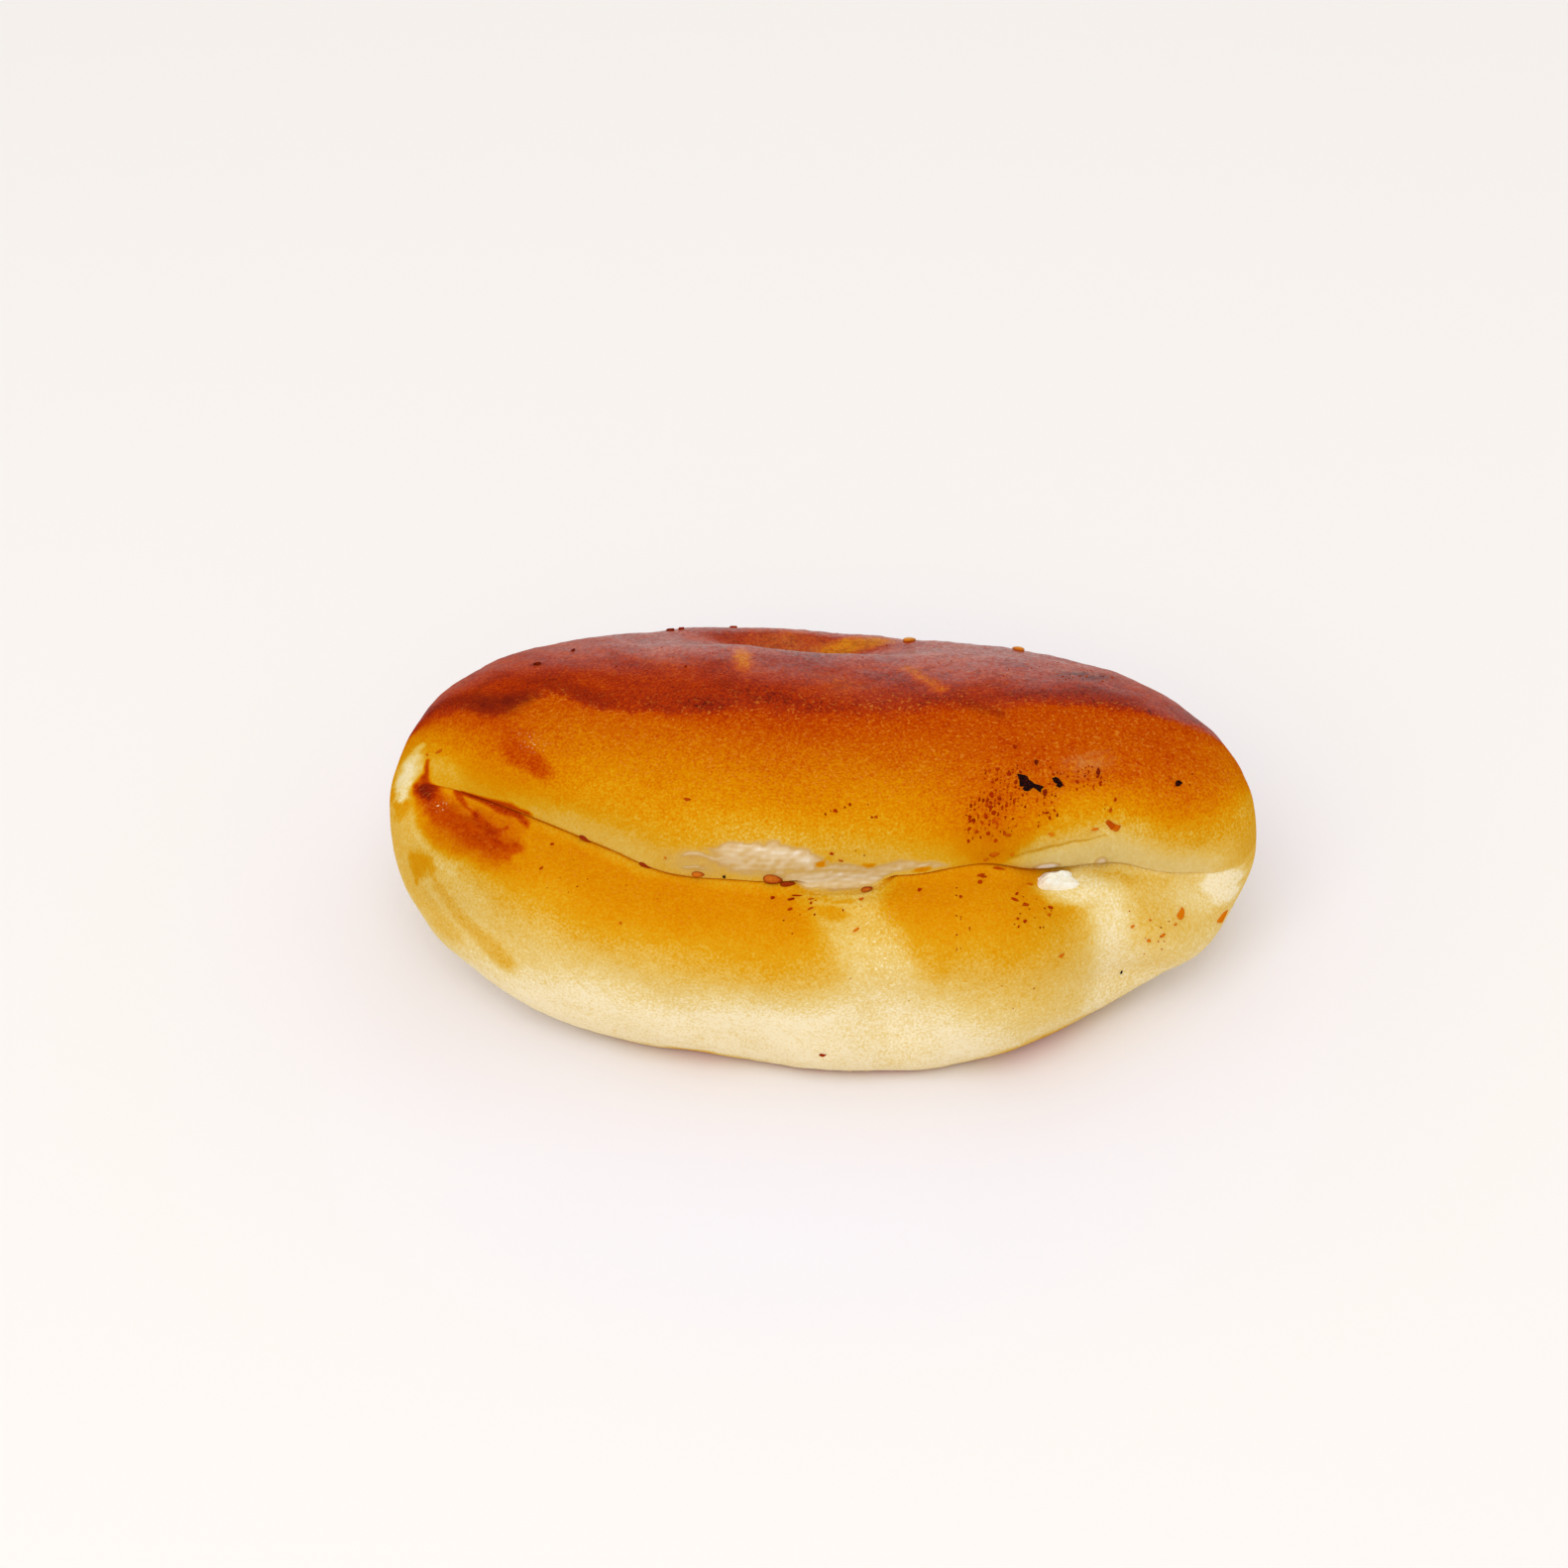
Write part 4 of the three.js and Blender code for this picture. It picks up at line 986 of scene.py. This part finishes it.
class Nodes:
    """A material's node tree, built by short calls that return output sockets."""

    def __init__(self, name):
        self.material = bpy.data.materials.new(name)
        self.material.use_nodes = True
        self.tree = self.material.node_tree

    def shade(self, inputs):
        """Sets or links the inputs of the surface."""
        for key, value in inputs.items():
            self.put(self.tree.nodes["Principled BSDF"].inputs[key], value)

    def add(self, kind, inputs=None, **settings):
        node = self.tree.nodes.new(kind)
        for key, value in settings.items():
            setattr(node, key, value)
        for key, value in (inputs or {}).items():
            self.put(node.inputs[key], value)
        return node

    def put(self, socket, value):
        if isinstance(value, bpy.types.NodeSocket):
            self.tree.links.new(value, socket)
        else:
            socket.default_value = value

    def math(self, operation, a, b=0.0, clamp=False):
        node = self.add("ShaderNodeMath", {0: a, 1: b}, operation=operation, use_clamp=clamp)
        return node.outputs[0]

    def times(self, a, b):
        return self.math("MULTIPLY", a, b)

    def plus(self, a, b, clamp=False):
        return self.math("ADD", a, b, clamp)

    def less(self, a, b):
        return self.math("SUBTRACT", a, b)

    def span(self, value, start, end, low=0.0, high=1.0):
        keys = {"Value": value, "From Min": start, "From Max": end, "To Min": low, "To Max": high}
        node = self.add("ShaderNodeMapRange", keys, interpolation_type="SMOOTHSTEP")
        return node.outputs["Result"]

    def field(self, name):
        return self.add("ShaderNodeAttribute", attribute_name=name).outputs["Fac"]

    def place(self):
        return self.add("ShaderNodeTexCoord").outputs["Object"]

    def noise(self, size_mm, detail=2.0, roughness=0.5, stretch=(1, 1, 1)):
        place = self.place()
        if stretch != (1, 1, 1):
            keys = {"Vector": place, "Scale": stretch}
            place = self.add("ShaderNodeMapping", keys).outputs["Vector"]
        scale = 1 / (size_mm * MM)
        keys = {"Vector": place, "Scale": scale, "Detail": detail, "Roughness": roughness}
        return self.add("ShaderNodeTexNoise", keys).outputs["Fac"]

    def mix(self, share, a, b, blend="MIX"):
        node = self.add("ShaderNodeMix", data_type="RGBA", blend_type=blend)
        self.put(node.inputs["Factor"], share)
        self.put(node.inputs["A"], a)
        self.put(node.inputs["B"], b)
        return node.outputs["Result"]

    def ramp(self, value, stops):
        node = self.add("ShaderNodeValToRGB", {"Fac": value})
        elements = node.color_ramp.elements
        while len(elements) < len(stops):
            elements.new(0.5)
        for element, (position, colour) in zip(elements, stops):
            element.position = position
            element.color = linear(colour)
        return node.outputs["Color"]

    def bump(self, height, distance_mm, strength=1.0):
        keys = {"Height": height, "Distance": distance_mm * MM, "Strength": strength}
        return self.add("ShaderNodeBump", keys).outputs["Normal"]


CRUST_STOPS = [
    (0.00, (248, 232, 192)),
    (0.10, (234, 206, 132)),
    (0.20, (227, 184, 82)),
    (0.30, (219, 158, 22)),
    (0.40, (217, 138, 2)),
    (0.50, (210, 118, 1)),
    (0.60, (199, 92, 1)),
    (0.70, (188, 68, 1)),
    (0.80, (169, 46, 2)),
    (0.90, (145, 35, 7)),
    (1.00, (70, 16, 12)),
]
SILK_STOPS = [
    (0.2, (216, 178, 96)), (0.5, (208, 164, 92)), (0.7, (219, 184, 130)), (0.85, (230, 202, 160)),
    (1, (246, 230, 206)),
]
SMUDGE_COLOUR = (96, 22, 14)
GLINT_COLOUR = (252, 238, 190)
BLISTER_COLOUR = (228, 146, 48)
SHADE = (0.75, 0.75, 0.75, 1)
CRUST_NOISES = {  # size in mm, detail and roughness
    "fine": (0.4, 2, 0.6), "coarse": (1.2, 2, 0.55), "mottle": (7, 3, 0.55),
    "dots": (0.55, 1, 0.5), "smears": (0.9, 3, 0.6), "wrinkles": (6, 4, 0.62, (0.6, 1, 1)),
    "sparks": (0.45, 1, 0.5), "gloss": (0.7, 3, 0.6), "skin": (2.2, 2, 0.5),
}
CRUST_SHARES = {  # of the noises in the browning, in the colour and in the silk
    "fine": 0.5, "coarse": 0.14, "mottle": 0.11, "dots": 0.42, "sparks": 0.85, "silk_and_highlights": 0.22,
    "fine skin": 0.6, "slow skin": 0.4,
}
CRUST_ROUGHNESS, COAT_ROUGHNESS = 0.5, 0.34
CRUST_BUMP_MM, CRUST_BUMP = 0.12, 0.8


def crust_material():
    n = Nodes("baked_crust")
    bake, grain, sheen, silk_and_highlights = (n.field(name) for name in ("bake", "grain", "sheen", "silk_and_highlights"))

    def noise(name):
        return n.noise(*CRUST_NOISES[name])

    def shared(name, value):
        return n.times(value, CRUST_SHARES[name])

    fine, coarse, mottle = (
        n.less(noise(name), 0.5) for name in ("fine", "coarse", "mottle")
    )
    speckle = n.plus(shared("fine", fine), shared("coarse", coarse))
    browned = n.plus(bake, n.times(speckle, grain))
    browned = n.plus(browned, shared("mottle", mottle), clamp=True)
    colour = n.ramp(browned, CRUST_STOPS)
    dots = n.times(n.span(noise("dots"), 0.58, 0.7), n.field("blister"))
    colour = n.mix(shared("dots", dots), colour, linear(BLISTER_COLOUR))
    smears = n.span(noise("smears"), 0.3, 0.6, 0.6, 1)
    smudge = n.times(n.field("smudge"), smears)
    winding = n.math("ABSOLUTE", n.less(noise("wrinkles"), 0.5))
    wrinkles = n.times(n.span(winding, 0.0, 0.035, 0.3, 0.0), n.span(sheen, 0.0, 0.5))
    colour = n.mix(n.math("MAXIMUM", smudge, wrinkles), colour, linear(SMUDGE_COLOUR))
    # White silky dough, and the painted highlights and reflection carried in the same field, mixed in as
    # pale colour.
    uneven = n.plus(silk_and_highlights, shared("silk_and_highlights", coarse))
    colour = n.mix(n.span(uneven, 0.1, 0.5), colour, n.ramp(uneven, SILK_STOPS))
    # Painted highlights: white sparkles where the glint field is.
    sparks = n.times(n.span(noise("sparks"), 0.6, 0.72), n.field("glint"))
    colour = n.mix(shared("sparks", sparks), colour, linear(GLINT_COLOUR))
    skin = n.plus(shared("fine skin", fine), shared("slow skin", noise("skin")))
    n.shade({
        "Base Color": n.mix(n.field("dim"), colour, SHADE, "MULTIPLY"),
        "Roughness": CRUST_ROUGHNESS,
        "Specular IOR Level": 0.0,  # the coat alone shines
        "Coat Weight": n.times(sheen, n.span(noise("gloss"), 0.3, 0.7, 0.6, 1.3)),
        "Coat Roughness": COAT_ROUGHNESS,
        "Normal": n.bump(skin, CRUST_BUMP_MM, CRUST_BUMP),
    })
    return n.material


def cheese_material():
    n = Nodes("white_cheese")
    colour = n.ramp(n.noise(0.9, 3, 0.6), [(0.3, (252, 240, 210)), (0.7, (255, 253, 240))])
    n.shade({"Base Color": colour, "Roughness": 0.5, "Normal": n.bump(n.noise(0.5, 3, 0.65), 0.2)})
    return n.material


TONE_WANDER = 0.35
# Of each kind of topping: the colour by tone, roughness, gloss and size of its grain in mm.
FINISHES = {
    "sesame": ([(0, (216, 164, 80)), (0.4, (216, 120, 26)), (1, (146, 44, 2))], 0.4, 0.05, 0.8),
    "burnt_flake": ([(0, (26, 12, 12)), (0.45, (166, 42, 2)), (1, (216, 118, 8))], 0.6, 0, 0.4),
    "baked_speck": ([(0, (104, 20, 2)), (0.6, (164, 44, 0)), (1, (200, 88, 6))], 0.6, 0, 0.3),
}


def toned_material(name):
    """A finish whose colour follows each scrap's own tone, broken by a fine noise."""
    stops, roughness, gloss, grain_mm = FINISHES[name]
    n = Nodes(name)
    wander = n.less(n.noise(grain_mm, 2, 0.6), 0.5)
    tone = n.plus(n.field("tone"), n.times(wander, TONE_WANDER), clamp=True)
    n.shade({
        "Base Color": n.ramp(tone, stops), "Roughness": roughness, "Specular IOR Level": gloss,
        "Normal": n.bump(n.noise(grain_mm, 2), 0.06),
    })
    return n.material


# ---- floor, light and camera

FLOOR_COLOUR = (251, 246, 242)
FLOOR_NEAR_COLOUR = (245, 243, 252)  # cooler, as the bun throws warm light on it
FLOOR_NEAR, FLOOR_FAR = 0.04, 0.12  # metres from the middle between which the colour turns
# Azimuth, elevation, distance, size, radiance and what is lit of each soft light.
PANELS = {
    "back_panel": (180, 11, 1.7, (2.8, 0.62), 1.15, "gloss"),
    "overhead": (150, 74, 1.5, (1.7, 1.5), 0.28, "matt"),
    "front_key": (-8, 50, 1.5, (1.3, 1.3), 1.68, "matt"),
}
LIT_POINT = (0, 0, 0.02)
WORLD_STRENGTH = 0.7
CAMERA = {"azimuth": 7.45, "elevation": 38.3, "roll": -2.85, "distance": 650, "pixels_per_mm": 6.43}
TARGET = (0, SET_BACK, 20)  # shows at TARGET_PIXEL
TARGET_PIXEL = (827.2, 842.8)
SENSOR = 36.0


def stage_floor():
    reach = 3000
    corners = [(-reach, -reach, 0), (reach, -reach, 0), (reach, reach, 0), (-reach, reach, 0)]
    floor = new_mesh("floor", corners, [(0, 1, 2, 3)], smooth=False)
    n = Nodes("pale_floor")
    away = n.add("ShaderNodeVectorMath", {0: n.place()}, operation="LENGTH").outputs["Value"]
    near = n.span(away, FLOOR_NEAR, FLOOR_FAR, 1.0, 0.0)
    colour = n.mix(near, linear(FLOOR_COLOUR), linear(FLOOR_NEAR_COLOUR))
    n.shade({"Base Color": colour, "Roughness": 0.9, "Specular IOR Level": 0.0})
    floor.data.materials.append(n.material)
    floor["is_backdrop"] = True


def direction(azimuth, elevation):
    """From the object outward: azimuth 0 is its front, positive to its right."""
    a, e = math.radians(azimuth), math.radians(elevation)
    return Vector((math.sin(a) * math.cos(e), -math.cos(a) * math.cos(e), math.sin(e)))


def panel(name, azimuth, elevation, distance, size, radiance, lit):
    """A soft light aimed at the bun, in metres, that lights its matt or its glossy part."""
    data = bpy.data.lights.new(name, "AREA")
    data.shape = "RECTANGLE"
    data.size, data.size_y = size
    data.energy = radiance * math.pi * size[0] * size[1]
    lamp = new_object(name, data)
    towards = direction(azimuth, elevation)
    lamp.location = Vector(LIT_POINT) + towards * distance
    lamp.rotation_euler = towards.to_track_quat("Z", "Y").to_euler()
    lamp.visible_glossy = lit == "gloss"
    lamp.visible_diffuse = lit == "matt"


def lights():
    for name, settings in PANELS.items():
        panel(name, *settings)
    world = bpy.data.worlds.new("studio")
    world.use_nodes = True
    back = world.node_tree.nodes["Background"]
    back.inputs["Color"].default_value = (1, 1, 1, 1)
    back.inputs["Strength"].default_value = WORLD_STRENGTH
    world.cycles_visibility.glossy = False
    bpy.context.scene.world = world


def camera():
    back = direction(CAMERA["azimuth"], CAMERA["elevation"])
    right = Vector((0, 0, 1)).cross(back).normalized()
    up = back.cross(right)
    roll = math.radians(CAMERA["roll"])
    cos, sin = math.cos(roll), math.sin(roll)
    right, up = right * cos + up * sin, up * cos - right * sin
    off_x, off_y = ((pixel - PHOTO_SIDE / 2) / CAMERA["pixels_per_mm"] for pixel in TARGET_PIXEL)
    eye = Vector(TARGET) + back * CAMERA["distance"]
    aim = Vector(TARGET) - right * off_x + up * off_y
    back = (eye - aim).normalized()
    right = up.cross(back).normalized()
    up = back.cross(right)
    data = bpy.data.cameras.new("view")
    data.sensor_width = SENSOR
    data.lens = SENSOR * CAMERA["pixels_per_mm"] * CAMERA["distance"] / PHOTO_SIDE
    data.clip_start, data.clip_end = 0.01, 20
    view = new_object("view", data)
    view.matrix_world = Matrix.Translation(eye * MM) @ Matrix((right, up, back)).transposed().to_4x4()
    bpy.context.scene.camera = view


# ---- assembly

bpy.context.scene.view_settings.view_transform = "Standard"

crust, grid = crust_piece()
crust.data.materials.append(crust_material())
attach(crust, "root")
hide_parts("bun")

for piece in (
    sesame_piece(grid, toned_material("sesame")),
    flakes_piece(grid, toned_material("burnt_flake")),
    specks_piece(grid, toned_material("baked_speck")),
):
    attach(piece, "root")
    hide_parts("bun")

cheese = cheese_piece(grid, cheese_material())
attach(cheese, "root")
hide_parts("cheese")

stage_floor()
lights()
camera()

bpy.context.view_layer.update()
boxes = {"cad": cad_box, "visual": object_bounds()}
{name: [list(corner) for corner in box] for name, box in boxes.items()}
